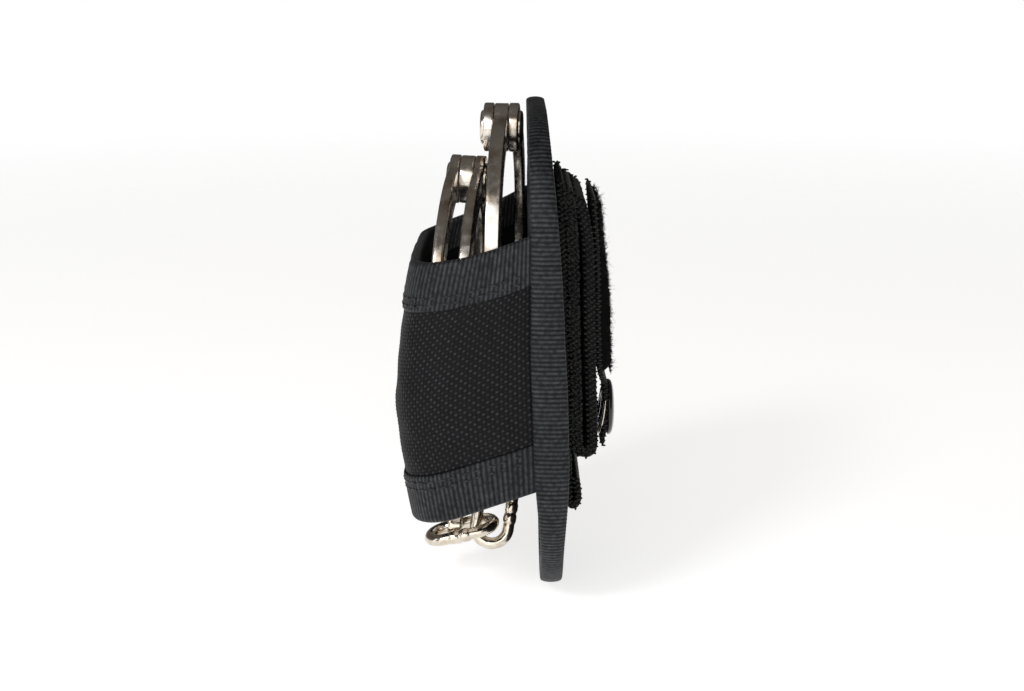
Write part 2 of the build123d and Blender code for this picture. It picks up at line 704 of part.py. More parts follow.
# ================= chain =================
def make_link(node, plane, weld_side):
    """A welded oval link lying in its plane, long along the plane's x."""
    straight = (LINK_LENGTH - LINK_WIDTH) / 2
    offset_y = LINK_WIDTH / 2 - LINK_WIRE
    with BuildPart() as link:
        with BuildSketch(Plane(plane.from_local_coords((-straight, 0, 0)), plane.y_dir, plane.x_dir)):
            with Locations((offset_y, 0), (-offset_y, 0)):
                Circle(LINK_WIRE)
        extrude(amount=2 * straight)
        for end in (1, -1):
            turn = plane.from_local_coords((end * straight, 0, 0))
            with BuildSketch(Plane(turn, plane.y_dir, plane.x_dir)):
                with Locations((offset_y, 0)):
                    Circle(LINK_WIRE)
            revolve(axis=Axis(turn, plane.z_dir * -end), revolution_arc=180)
        for lump in (0.5, -0.5):
            middle = (lump * (WELD_LENGTH + WELD_GAP) - WELD_LENGTH / 2, weld_side * offset_y, 0)
            with BuildSketch(Plane(plane.from_local_coords(middle), plane.y_dir, plane.x_dir)):
                Circle(WELD_RADIUS)
            extrude(amount=WELD_LENGTH)
    keep(link.part, node)


eye_a = plane_a.from_local_coords((0, CASE_BOTTOM - EYE_DROP, 0))
eye_b = plane_b.from_local_coords((0, CASE_BOTTOM - EYE_DROP, 0))
half_width = LINK_WIDTH / 2 - LINK_WIRE

# Link 1 lies nearly flat, its far bar in eye A, and slopes up to the back.
yaw_a = radians(CUFF_A_YAW)
slope = radians(LINK_1_SLOPE)
roll = radians(LINK_1_ROLL)
link_1_along = Vector(sin(yaw_a) * cos(slope), cos(yaw_a) * cos(slope), sin(slope))
level = link_1_along.cross(Vector(0, 0, 1)).normalized()
lift = level.cross(link_1_along)
link_1_across = level * cos(roll) - lift * sin(roll)
link_1_middle = eye_a + link_1_across * half_width + link_1_along * LINK_1_BACK_SHIFT
link_1_plane = Plane(link_1_middle, link_1_along, link_1_along.cross(link_1_across))
make_link("chain_link_1", link_1_plane, 1)

# Link 2 hangs in eye B, leans back at its top and tilts to the near side at its foot.
lean = radians(LINK_2_LEAN)
tilt = radians(LINK_2_TILT)
link_2_down = Vector(sin(tilt), -sin(lean) * cos(tilt), -cos(lean) * cos(tilt))
link_2_side = link_2_down.cross(Vector(1, 0, 0)).normalized()
link_2_normal = link_2_down.cross(link_2_side)
link_2_top = eye_b + Vector(*LINK_2_SEAT)
link_2_middle = link_2_top + link_2_down * (LINK_LENGTH / 2 - LINK_WIRE)
link_2_plane = Plane(link_2_middle, link_2_down, link_2_normal)
make_link("chain_link_2", link_2_plane, 1)
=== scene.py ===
import math
import random

import bmesh
import bpy
from mathutils import Matrix, Vector, noise


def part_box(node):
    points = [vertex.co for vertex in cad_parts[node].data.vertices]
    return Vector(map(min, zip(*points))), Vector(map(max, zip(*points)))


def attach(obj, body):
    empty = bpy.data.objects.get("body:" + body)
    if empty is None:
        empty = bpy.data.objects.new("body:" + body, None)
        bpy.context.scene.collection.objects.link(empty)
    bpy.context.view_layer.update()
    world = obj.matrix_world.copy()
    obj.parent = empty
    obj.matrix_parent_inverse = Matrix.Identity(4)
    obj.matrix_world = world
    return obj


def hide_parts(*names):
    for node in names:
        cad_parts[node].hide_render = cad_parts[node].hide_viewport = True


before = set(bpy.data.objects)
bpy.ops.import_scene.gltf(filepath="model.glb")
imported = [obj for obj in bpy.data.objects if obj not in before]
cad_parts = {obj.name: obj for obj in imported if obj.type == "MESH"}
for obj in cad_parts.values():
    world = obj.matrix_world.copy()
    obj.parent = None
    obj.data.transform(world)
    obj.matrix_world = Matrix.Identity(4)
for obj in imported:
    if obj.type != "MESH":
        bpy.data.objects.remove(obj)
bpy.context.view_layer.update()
MM = 0.001
RNG = random.Random(7)

# ------------------------------------------------------------------ frame values
PANEL_LOW, PANEL_HIGH = (Vector(p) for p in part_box("panel_binding"))
BAND_LOW, BAND_HIGH = (Vector(p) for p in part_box("pouch_band"))
TAPE_LOW, TAPE_HIGH = (Vector(p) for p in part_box("band_top_binding"))
HEM_LOW, HEM_HIGH = (Vector(p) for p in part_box("band_bottom_binding"))
LOOP_LOW, LOOP_HIGH = (Vector(p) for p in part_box("belt_loop_webbing"))
LADDER_LOW, LADDER_HIGH = (Vector(p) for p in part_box("ladder_webbing"))
KEEPER_LOW, KEEPER_HIGH = (Vector(p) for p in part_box("keeper_tab"))
PILE_LOW, PILE_HIGH = (Vector(p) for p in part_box("pile_face"))
CAP_LOW, CAP_HIGH = (Vector(p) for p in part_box("snap_cap"))
STUD_LOW, STUD_HIGH = (Vector(p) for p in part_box("snap_stud"))
SOCKET_LOW, SOCKET_HIGH = (Vector(p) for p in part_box("snap_socket"))
HALF_WIDTH = PANEL_HIGH.x
PANEL_MID_Y = (PANEL_LOW.y + PANEL_HIGH.y) / 2
PANEL_MID_Z = (PANEL_LOW.z + PANEL_HIGH.z) / 2
PANEL_TOP_Z = PANEL_HIGH.z - 0.9 * MM

# ------------------------------------------------------------------ camera
CAMERA_ELEVATION = math.radians(14)
CAMERA_DISTANCE = 420 * MM
FOCAL_LENGTH = 55.65
AIM = Vector((0, PANEL_MID_Y - 8.6 * MM, PANEL_LOW.z + 63.3 * MM))


def make_camera():
    data = bpy.data.cameras.new("camera")
    camera = bpy.data.objects.new("camera", data)
    bpy.context.scene.collection.objects.link(camera)
    out = Vector((math.cos(CAMERA_ELEVATION), 0, math.sin(CAMERA_ELEVATION)))
    camera.location = AIM + out * CAMERA_DISTANCE
    camera.rotation_euler = (-out).to_track_quat("-Z", "Y").to_euler()
    data.lens = FOCAL_LENGTH
    data.sensor_width = 36
    data.clip_start = 0.01
    bpy.context.scene.camera = camera


# ------------------------------------------------------------------ materials
def new_material(name):
    material = bpy.data.materials.new(name)
    material.use_nodes = True
    nodes = material.node_tree.nodes
    nodes.clear()
    output = nodes.new("ShaderNodeOutputMaterial")
    shader = nodes.new("ShaderNodeBsdfPrincipled")
    material.node_tree.links.new(shader.outputs["BSDF"], output.inputs["Surface"])
    return material, shader


def link(material, source, target):
    material.node_tree.links.new(source, target)


def add_noise(material, scale, detail=3.0, stretch=(1, 1, 1)):
    """A noise texture in the object's own metres, its coordinates stretched."""
    nodes = material.node_tree.nodes
    where = nodes.new("ShaderNodeTexCoord")
    mapping = nodes.new("ShaderNodeMapping")
    mapping.inputs["Scale"].default_value = stretch
    texture = nodes.new("ShaderNodeTexNoise")
    texture.inputs["Scale"].default_value = scale
    texture.inputs["Detail"].default_value = detail
    link(material, where.outputs["Object"], mapping.inputs["Vector"])
    link(material, mapping.outputs["Vector"], texture.inputs["Vector"])
    return texture.outputs["Fac"]


def add_ramp(material, source, stops):
    ramp = material.node_tree.nodes.new("ShaderNodeValToRGB")
    while len(ramp.color_ramp.elements) < len(stops):
        ramp.color_ramp.elements.new(0.5)
    for element, (place, colour) in zip(ramp.color_ramp.elements, stops):
        element.position = place
        element.color = (*colour, 1) if len(colour) == 3 else colour
    link(material, source, ramp.inputs["Fac"])
    return ramp.outputs["Color"]


def add_range(material, source, low, high, to_low, to_high):
    node = material.node_tree.nodes.new("ShaderNodeMapRange")
    node.inputs["From Min"].default_value = low
    node.inputs["From Max"].default_value = high
    node.inputs["To Min"].default_value = to_low
    node.inputs["To Max"].default_value = to_high
    link(material, source, node.inputs["Value"])
    return node.outputs["Result"]


def add_bump(material, source, strength, distance, after=None):
    node = material.node_tree.nodes.new("ShaderNodeBump")
    node.inputs["Strength"].default_value = strength
    node.inputs["Distance"].default_value = distance
    link(material, source, node.inputs["Height"])
    if after is not None:
        link(material, after, node.inputs["Normal"])
    return node.outputs["Normal"]


def multiply(material, first, second):
    node = material.node_tree.nodes.new("ShaderNodeMix")
    node.data_type = "RGBA"
    node.blend_type = "MULTIPLY"
    node.inputs["Factor"].default_value = 1.0
    link(material, first, node.inputs[6])
    link(material, second, node.inputs[7])
    return node.outputs[2]


def painted_yarn_shading(material):
    """Colour from the mesh's own yarn attribute: painted shade, dark in the grooves, and painted highlight, paler on
    the crowns.
    """
    node = material.node_tree.nodes.new("ShaderNodeAttribute")
    node.attribute_name = "yarn"
    return node.outputs["Color"]


def cloth_material(name, dark, pale, shine, rough=0.55):
    """Black yarn: painted shade makes it nearly black in the grooves, with painted highlights as pale spots where
    crowns catch the light.
    """
    material, shader = new_material(name)
    # The yarn ramp paints light and shade: its dark stop is painted shade in the grooves, its pale stop painted
    # highlight on the crowns.
    middle = tuple(0.30 * b + 0.70 * a for a, b in zip(dark, pale))
    yarn = add_ramp(material, painted_yarn_shading(material), [(0.25, dark), (0.70, middle), (1.0, pale)])
    patches = add_ramp(material, add_noise(material, 90, 4), [(0.3, (0.65, 0.65, 0.67)), (0.75, (1, 1, 1))])
    # Painted highlights broken up: fine noise that breaks the pale crown highlights into short dashes.
    highlight_flecks = add_ramp(material, add_noise(material, 900, 2), [(0.32, (0.30, 0.30, 0.32)), (0.66, (1, 1, 1))])
    colour = multiply(material, multiply(material, yarn, patches), highlight_flecks)
    link(material, colour, shader.inputs["Base Color"])
    fibre = add_noise(material, 5200, 2)
    worn = add_range(material, fibre, 0.3, 0.7, rough - 0.12, rough + 0.14)
    link(material, worn, shader.inputs["Roughness"])
    link(material, add_bump(material, fibre, 0.5, 0.00006), shader.inputs["Normal"])
    shader.inputs["Sheen Weight"].default_value = 0.02
    shader.inputs["Specular IOR Level"].default_value = shine
    return material


def metal_material(name, bright, tarnish, rough, wear=0.5):
    """Worn nickel: brown tarnish in patches, fine scratches and a satin grain."""
    material, shader = new_material(name)
    patches = add_ramp(material, add_noise(material, 210, 6), [(0.48, bright), (0.72, tarnish)])
    specks = add_ramp(material, add_noise(material, 2300, 3), [(0.24, (0.55, 0.48, 0.42)), (0.36, (1, 1, 1))])
    link(material, multiply(material, patches, specks), shader.inputs["Base Color"])
    shader.inputs["Metallic"].default_value = 1.0
    scratch = add_noise(material, 1400, 4, (1.0, 1.0, 0.08))
    grain = add_noise(material, 500, 4)
    worn = add_range(material, grain, 0.3, 0.7, rough - 0.07, rough + 0.14)
    link(material, worn, shader.inputs["Roughness"])
    first = add_bump(material, scratch, 0.25 * wear, 0.00004)
    link(material, add_bump(material, grain, 0.30 * wear, 0.00008, first), shader.inputs["Normal"])
    return material


def painted_material(name, colour, rough):
    material, shader = new_material(name)
    smear = add_noise(material, 300, 3)
    pale = tuple(1.8 * c for c in colour)
    link(material, add_ramp(material, smear, [(0.2, colour), (0.8, pale)]), shader.inputs["Base Color"])
    link(material, add_range(material, smear, 0.3, 0.7, rough, rough + 0.12), shader.inputs["Roughness"])
    link(material, add_bump(material, add_noise(material, 900, 2), 0.12, 0.00003), shader.inputs["Normal"])
    shader.inputs["Metallic"].default_value = 0.35
    shader.inputs["Coat Weight"].default_value = 0.6
    shader.inputs["Coat Roughness"].default_value = 0.08
    return material


CORDURA = cloth_material("cordura", (0.0012, 0.0012, 0.0015), (0.062, 0.063, 0.072), 0.16)
GROSGRAIN = cloth_material("grosgrain", (0.0012, 0.0012, 0.0014), (0.070, 0.074, 0.080), 0.18)
WEBBING = cloth_material("webbing", (0.0010, 0.0010, 0.0011), (0.050, 0.049, 0.046), 0.20)
PILE = cloth_material("pile", (0.0015, 0.0015, 0.0015), (0.016, 0.016, 0.017), 0.08, 0.75)
THREAD = cloth_material("thread", (0.002, 0.002, 0.002), (0.060, 0.060, 0.064), 0.2, 0.5)
FOAM = cloth_material("foam", (0.006, 0.006, 0.006), (0.012, 0.012, 0.012), 0.05, 0.9)
NICKEL = metal_material("nickel", (0.72, 0.68, 0.62), (0.40, 0.30, 0.22), 0.18, 0.6)
BRIGHT_NICKEL = metal_material("bright_nickel", (0.70, 0.64, 0.55), (0.48, 0.40, 0.30), 0.14, 0.5)
LOCK_STEEL = metal_material("lock_steel", (0.55, 0.54, 0.52), (0.30, 0.27, 0.24), 0.32, 1.0)
SNAP_BLACK = painted_material("snap_black", (0.006, 0.006, 0.0066), 0.12)


# ------------------------------------------------------------------ mesh helpers
def make_piece(name, vertices, faces, material, body, yarn=None, smooth=True):
    """A mesh piece with an optional yarn tone for each vertex: painted light and shade on the yarn."""
    mesh = bpy.data.meshes.new(name)
    mesh.from_pydata([tuple(v) for v in vertices], [], faces)
    mesh.materials.append(material)
    if yarn is not None:
        layer = mesh.attributes.new("yarn", "FLOAT", "POINT")
        layer.data.foreach_set("value", yarn)
    mesh.polygons.foreach_set("use_smooth", [smooth] * len(mesh.polygons))
    mesh.update()
    piece = bpy.data.objects.new(name, mesh)
    bpy.context.scene.collection.objects.link(piece)
    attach(piece, body)
    return piece


def closed_shell(rows, columns, outer, inner):
    """Vertices and faces of a cloth with two faces and four hems.

    outer and inner give a point and a tone for a row and a column."""
    vertices, yarn, faces = [], [], []
    for side in (outer, inner):
        for i in range(rows):
            for j in range(columns):
                point, tone = side(i, j)
                vertices.append(point)
                yarn.append(tone)
    half = rows * columns

    def at(side, i, j):
        return side * half + i * columns + j

    for i in range(rows - 1):
        for j in range(columns - 1):
            faces.append((at(0, i, j), at(0, i, j + 1), at(0, i + 1, j + 1), at(0, i + 1, j)))
            faces.append((at(1, i, j), at(1, i + 1, j), at(1, i + 1, j + 1), at(1, i, j + 1)))
    for j in range(columns - 1):
        last = rows - 1
        faces.append((at(0, 0, j), at(1, 0, j), at(1, 0, j + 1), at(0, 0, j + 1)))
        faces.append((at(0, last, j), at(0, last, j + 1), at(1, last, j + 1), at(1, last, j)))
    for i in range(rows - 1):
        last = columns - 1
        faces.append((at(0, i, 0), at(0, i + 1, 0), at(1, i + 1, 0), at(1, i, 0)))
        faces.append((at(0, i, last), at(1, i, last), at(1, i + 1, last), at(0, i + 1, last)))
    return vertices, faces, yarn


def ring_faces(rings, around, closed):
    """Faces of a tube of rings, each with the same number of points; closed joins its ends."""
    faces = []
    count = rings if closed else rings - 1
    for i in range(count):
        here, there = i * around, ((i + 1) % rings) * around
        for j in range(around):
            k = (j + 1) % around
            faces.append((here + j, here + k, there + k, there + j))
    if not closed:
        faces.append(tuple(reversed(range(around))))
        faces.append(tuple(range((rings - 1) * around, rings * around)))
    return faces


def plain_weave(u, v, pitch):
    """Height and tone of a plain weave: crowns over each crossing, the two yarns in turn. The tone is painted light:
    painted shade in the grooves, painted highlight on the crowns, and the yarn lying over painted lighter than the one
    under it.
    """
    a, b = u / pitch, v / pitch
    crown = abs(math.sin(math.pi * a) * math.sin(math.pi * b)) ** 0.6
    over = (math.floor(a) + math.floor(b)) % 2
    return crown * (1.0 if over else 0.82), crown * (1.0 if over else 0.45)


def rib(distance, pitch):
    """Height of a grosgrain rib, also used as its painted light: painted shade between ribs, painted highlight on the
    rib tops.
    """
    return abs(math.sin(math.pi * distance / pitch)) ** 0.7


def wobble(point, size, seed):
    """A smooth random value from -1 to 1 at a place, over a length."""
    return noise.noise(Vector(point) / size + Vector((seed, 1.7 * seed, 3.1 * seed)))


def beads(name, places, material, body, sides=6, rings=5):
    """Many small rounded yarn lumps as one piece.

    Each place is (centre, long axis, cross axis, half length, half width)."""
    vertices, faces, yarn = [], [], []
    for centre, along, across, half_length, half_width in places:
        along, across = along.normalized(), across.normalized()
        third = along.cross(across).normalized()
        start = len(vertices)
        # Yarn tone: painted shade at each lump's two ends, painted highlight along its crown.
        vertices.append(centre - along * half_length)
        yarn.append(0.1)
        for i in range(1, rings):
            turn = math.pi * i / rings
            for j in range(sides):
                angle = 2 * math.pi * j / sides
                out = across * math.cos(angle) + third * math.sin(angle)
                vertices.append(centre - along * half_length * math.cos(turn) + out * half_width * math.sin(turn))
                yarn.append(0.35 + 0.65 * math.sin(turn))
        vertices.append(centre + along * half_length)
        yarn.append(0.1)
        last = len(vertices) - 1
        for j in range(sides):
            k = (j + 1) % sides
            faces.append((start, start + 1 + k, start + 1 + j))
            for i in range(rings - 2):
                low, high = start + 1 + i * sides, start + 1 + (i + 1) * sides
                faces.append((low + j, low + k, high + k, high + j))
            top = start + 1 + (rings - 2) * sides
            faces.append((top + j, top + k, last))
    return make_piece(name, vertices, faces, material, body, yarn)


def lathe(name, centre, profile, material, body, sides=72):
    """A turned piece about the Y direction: profile is (distance along Y, radius)."""
    vertices, faces = [], []
    for y, radius in profile:
        for j in range(sides):
            angle = 2 * math.pi * j / sides
            vertices.append((centre.x + radius * math.cos(angle), y, centre.z + radius * math.sin(angle)))
    faces = ring_faces(len(profile), sides, False)
    return make_piece(name, vertices, faces, material, body)


# ------------------------------------------------------------------ padded panel
SHOULDER_RADIUS = 29 * MM
FOOT_RADIUS = 40 * MM
RIB_PITCH = 1.12 * MM
WEAVE_PITCH = 0.92 * MM
BINDING_LIP = 8 * MM
LEAN_FROM = 5 * MM
LEAN_FORWARD = 2.6 * MM
LEAN_BACK = 1.7 * MM


def lean(z):
    """How far back the panel stands at a height: its top leans forward, its foot back."""
    if z > LEAN_FROM:
        rise = (z - LEAN_FROM) / (PANEL_HIGH.z - LEAN_FROM)
        return -LEAN_FORWARD * rise ** 1.6
    fall = min(1.0, (LEAN_FROM - z) / (LEAN_FROM - PANEL_LOW.z))
    return LEAN_BACK * (1 - (1 - fall) ** 2)


def ease(t):
    """A smooth step from 0 to 1."""
    t = min(max(t, 0.0), 1.0)
    return t * t * (3 - 2 * t)


def panel_half_thickness(z):
    """The bound edge is fullest at its middle and thin at both ends."""
    up = (z - PANEL_MID_Z) / (PANEL_HIGH.z - PANEL_MID_Z)
    if up > 0:
        return (4.2 - 2.0 * min(up, 1.0) ** 1.2) * MM
    return (4.2 - 1.5 * ease((-up - 0.30) / 0.5)) * MM


def outline_points(inset, step):
    """Points and outward directions round the panel's edge, evenly spaced."""
    half, r_top, r_foot = HALF_WIDTH - inset, SHOULDER_RADIUS - inset, FOOT_RADIUS - inset
    top, foot = PANEL_TOP_Z - inset, PANEL_LOW.z + inset
    arcs = [
        ((half - r_foot, foot + r_foot), r_foot, -90, 0),
        ((half - r_top, top - r_top), r_top, 0, 90),
        ((-half + r_top, top - r_top), r_top, 90, 180),
        ((-half + r_foot, foot + r_foot), r_foot, 180, 270),
    ]
    corners = []
    for (cx, cz), r, start, end in arcs:
        for i in range(61):
            a = math.radians(start + (end - start) * i / 60)
            corners.append((Vector((cx + r * math.cos(a), cz + r * math.sin(a))), Vector((math.cos(a), math.sin(a)))))
    corners.append(corners[0])
    lengths = [0.0]
    for (p, _), (q, _) in zip(corners, corners[1:]):
        lengths.append(lengths[-1] + (q - p).length)
    count = round(lengths[-1] / step)
    points, k = [], 0
    for i in range(count):
        d = lengths[-1] * i / count
        while lengths[k + 1] < d:
            k += 1
        t = (d - lengths[k]) / max(lengths[k + 1] - lengths[k], 1e-9)
        p = corners[k][0].lerp(corners[k + 1][0], t)
        n = corners[k][1].lerp(corners[k + 1][1], t).normalized()
        points.append((d, p, n))
    return points


def panel_width_at(z, inset):
    """Half the panel's width at a height."""
    half, r_top, r_foot = HALF_WIDTH - inset, SHOULDER_RADIUS - inset, FOOT_RADIUS - inset
    top, foot = PANEL_TOP_Z - inset, PANEL_LOW.z + inset
    if z > top - r_top:
        d = min(z - (top - r_top), r_top)
        return half - r_top + math.sqrt(max(r_top ** 2 - d ** 2, 0))
    if z < foot + r_foot:
        d = min(foot + r_foot - z, r_foot)
        return half - r_foot + math.sqrt(max(r_foot ** 2 - d ** 2, 0))
    return half


def make_panel_cloth(name, facing, replaced):
    """One crowned cloth face of the panel; facing is -1 for the front."""
    inset, rows, columns = 2.2 * MM, 380, 240
    low, high = PANEL_LOW.z + inset, PANEL_TOP_Z - inset

    def point(i, j, sink):
        z = low + (high - low) * i / (rows - 1)
        width = panel_width_at(z, inset)
        x = width * (2 * j / (columns - 1) - 1)
        edge = max(0.0, 1 - abs(x) / max(width, 1e-6))
        ends = max(0.0, min(z - low, high - z) / (20 * MM))
        crown = 1.3 * MM * min(1, edge * 2.2) ** 0.7 * min(1, ends) ** 0.7
        height, tone = plain_weave(x, z, WEAVE_PITCH)
        soft = 0.25 * MM * wobble((x, 0, z), 17 * MM, 3)
        out = panel_half_thickness(z) - 0.75 * MM + crown * (0.35 if facing > 0 else 0.8) + soft
        out += 0.16 * MM * height - sink
        return Vector((x, PANEL_MID_Y + lean(z) + facing * out, z)), tone

    vertices, faces, yarn = closed_shell(
        rows, columns, lambda i, j: point(i, j, 0), lambda i, j: (point(i, j, 0.5 * MM)[0], 0.3)
    )
    if facing < 0:
        faces = [tuple(reversed(f)) for f in faces]
    piece = make_piece(name, vertices, faces, CORDURA, "holder", yarn)
    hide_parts(replaced)
    return piece


def make_panel_core():
    """The foam between the two cloth faces, inside the bound edge."""
    rows, columns, inset = 90, 60, 3 * MM
    low, high = PANEL_LOW.z + inset, PANEL_TOP_Z - inset

    def point(i, j, facing):
        z = low + (high - low) * i / (rows - 1)
        width = panel_width_at(z, inset)
        x = width * (2 * j / (columns - 1) - 1)
        out = panel_half_thickness(z) - 1.6 * MM + 0.06 * MM * wobble((x, facing, z), 2 * MM, 15)
        return Vector((x, PANEL_MID_Y + lean(z) + facing * out, z)), 0.5

    vertices, faces, yarn = closed_shell(
        rows, columns, lambda i, j: point(i, j, 1), lambda i, j: point(i, j, -1)
    )
    piece = make_piece("panel_foam_core", vertices, faces, FOAM, "holder", yarn)
    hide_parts("back_panel_core")


def make_panel_binding():
    """Ribbed tape folded round the panel's edge, its ribs lying across the edge."""
    edge = outline_points(0.9 * MM, 0.29 * MM)
    across, lip_steps = [], 9
    for i in range(lip_steps):
        across.append(("lip", -1, 1 - i / lip_steps))
    for i in range(13):
        across.append(("turn", math.radians(-90 + 15 * i), 0))
    for i in range(1, lip_steps + 1):
        across.append(("lip", 1, i / lip_steps))

    def section(k, kind, value, reach, grow):
        d, p, n = edge[k % len(edge)]
        z = p.y
        half = panel_half_thickness(z) + grow
        ribbed = 0.15 * MM * rib(d, RIB_PITCH) * (1 if grow >= 0 else 0)
        ripple = 0.22 * MM * wobble((p.x, 0, p.y), 9 * MM, 11)
        if kind == "lip":
            inward = reach * BINDING_LIP * (1 + 0.03 * wobble((p.x, 3 * value, p.y), 6 * MM, 5))
            q = p - n * inward
            rise = half - 0.25 * MM * reach + ribbed
            if reach > 0.85:
                rise -= 0.45 * MM
            y = value * (rise + ripple * 0.4)
        else:
            bulge = 0.9 * MM + grow + ribbed + ripple * 0.5
            q = p + n * bulge * math.cos(value) ** 0.8 if math.cos(value) > 1e-6 else p
            y = math.sin(value) * (half + ribbed)
        return Vector((q.x, PANEL_MID_Y + lean(z) + y, q.y))

    outer, inner, yarn = [], [], []
    for k in range(len(edge)):
        for kind, value, reach in across:
            outer.append(section(k, kind, value, reach, 0.0))
            # Yarn tone: painted shade between the ribs, painted highlight on the rib tops.
            yarn.append(0.15 + 0.85 * rib(edge[k][0], RIB_PITCH))
    for k in range(len(edge)):
        for kind, value, reach in across:
            inner.append(section(k, kind, value, reach, -0.5 * MM))
    rings, width, half = len(edge), len(across), len(outer)
    faces = []
    for k in range(rings):
        m = (k + 1) % rings
        for j in range(width - 1):
            a, b, c, d = k * width + j, k * width + j + 1, m * width + j + 1, m * width + j
            faces.append((a, d, c, b))
            faces.append((half + a, half + b, half + c, half + d))
        for j in (0, width - 1):
            a, d = k * width + j, m * width + j
            rim = (a, half + a, half + d, d)
            faces.append(rim if j == 0 else tuple(reversed(rim)))
    piece = make_piece("panel_edge_binding", outer + inner, faces, GROSGRAIN, "holder", yarn + [0.3] * half)
    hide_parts("panel_binding")

    stitches = []
    for facing in (-1, 1):
        for d, p, n in outline_points(BINDING_LIP - 1.4 * MM, 3.0 * MM):
            y = PANEL_MID_Y + lean(p.y) + facing * (panel_half_thickness(p.y) - 0.02 * MM)
            along = Vector((-n.y, 0, n.x))
            stitches.append((Vector((p.x, y, p.y)), along, Vector((0, 1, 0)), 1.15 * MM, 0.24 * MM))
    beads("panel_binding_stitches", stitches, THREAD, "holder")


# ------------------------------------------------------------------ pouch band
BAND_HALF = BAND_HIGH.x
BAND_BACK_Y = BAND_HIGH.y
BAND_CLOTH = 1.1 * MM
BULGE_Z = -10.5 * MM
TAPE_WIDTH = 11 * MM
CORNER = 13 * MM


def band_front(z):
    """How far forward the band reaches at a height."""
    fall = 7.6 * MM * (abs(z - BULGE_Z) / (45 * MM)) ** 1.45
    return BAND_LOW.y + 0.2 * MM + fall


def band_path(s, z):
    """A point on the band's outer face and its outward normal.

    s runs from 0 at the far end on the panel, round the front, to 1 at the near end."""
    front = band_front(z)
    rear = BAND_BACK_Y + max(0.0, lean(z)) + 0.4 * MM
    half = BAND_HALF - 0.3 * MM
    side = (BAND_BACK_Y - CORNER) - (BAND_LOW.y + 3 * MM)
    arc = CORNER * math.pi / 2
    flat = 2 * (half - CORNER)
    total = 2 * side + 2 * arc + flat
    d = s * total
    mirror = 1.0
    if d > total / 2:
        d = total - d
        mirror = -1.0
    if d < side:
        t = d / side
        y = rear + (front + CORNER - rear) * t
        bow = 0.7 * MM * math.sin(math.pi * t)
        point, normal = Vector((-half - bow * 0.3, y)), Vector((-1, 0))
    elif d < side + arc:
        a = (d - side) / CORNER
        normal = Vector((-math.cos(a), -math.sin(a)))
        point = Vector((-half + CORNER, front + CORNER)) + normal * CORNER
    else:
        t = (d - side - arc) / flat
        bow = 0.9 * MM * math.sin(math.pi * t)
        point, normal = Vector((-half + CORNER + flat * t, front - bow * 0.2)), Vector((0, -1))
    return Vector((mirror * point.x, point.y, z)), Vector((mirror * normal.x, normal.y, 0)), s * total


def edge_height(s, top):
    """The slanting top or bottom edge: low in front at the top, higher at the panel."""
    point, _, _ = band_path(s, 0.0)
    back = (point.y - BAND_LOW.y) / (BAND_BACK_Y - BAND_LOW.y)
    far = 0.5 - point.x / (2 * BAND_HALF)
    if top:
        front_z, back_z = TAPE_HIGH.z - 9.8 * MM - 2.5 * MM * far, TAPE_HIGH.z - 1.3 * MM
    else:
        front_z, back_z = HEM_LOW.z + 2.2 * MM, HEM_LOW.z + 12.5 * MM
    ease = back ** 1.15
    return front_z + (back_z - front_z) * ease + 0.5 * MM * math.sin(9 * s + (2 if top else 0))


def band_point(s, z, out, calm=0.0):
    """A point off the band's outer face, with the cloth's soft folds."""
    point, normal, d = band_path(s, z)
    low, high = edge_height(s, False), edge_height(s, True)
    middle = math.sin(math.pi * min(max((z - low) / (high - low), 0), 1)) ** 0.6
    ends = min(1.0, min(s, 1 - s) / 0.05)
    fold = 0.75 * MM * wobble((1.6 * d, 0, 0.55 * z), 15 * MM, 21)
    fold += 0.30 * MM * wobble((d, 0, z), 6 * MM, 9)
    tuck = -0.9 * MM * (1 - ends) * middle
    return point + normal * (out + fold * (0.25 + 0.75 * middle) * ends * (1 - calm) + tuck)


def make_band():
    rows, columns = 330, 640

    def outer(i, j):
        s = j / (columns - 1)
        low, high = edge_height(s, False), edge_height(s, True)
        z = low + (high - low) * i / (rows - 1)
        _, _, d = band_path(s, z)
        height, tone = plain_weave(d, z - low, WEAVE_PITCH)
        return band_point(s, z, 0.20 * MM * height - 0.1 * MM), tone

    def inner(i, j):
        s = j / (columns - 1)
        low, high = edge_height(s, False), edge_height(s, True)
        z = low + (high - low) * i / (rows - 1)
        return band_point(s, z, -BAND_CLOTH), 0.35

    vertices, faces, yarn = closed_shell(rows, columns, outer, inner)
    piece = make_piece("pouch_band_cloth", vertices, faces, CORDURA, "holder", yarn)
    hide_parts("pouch_band")


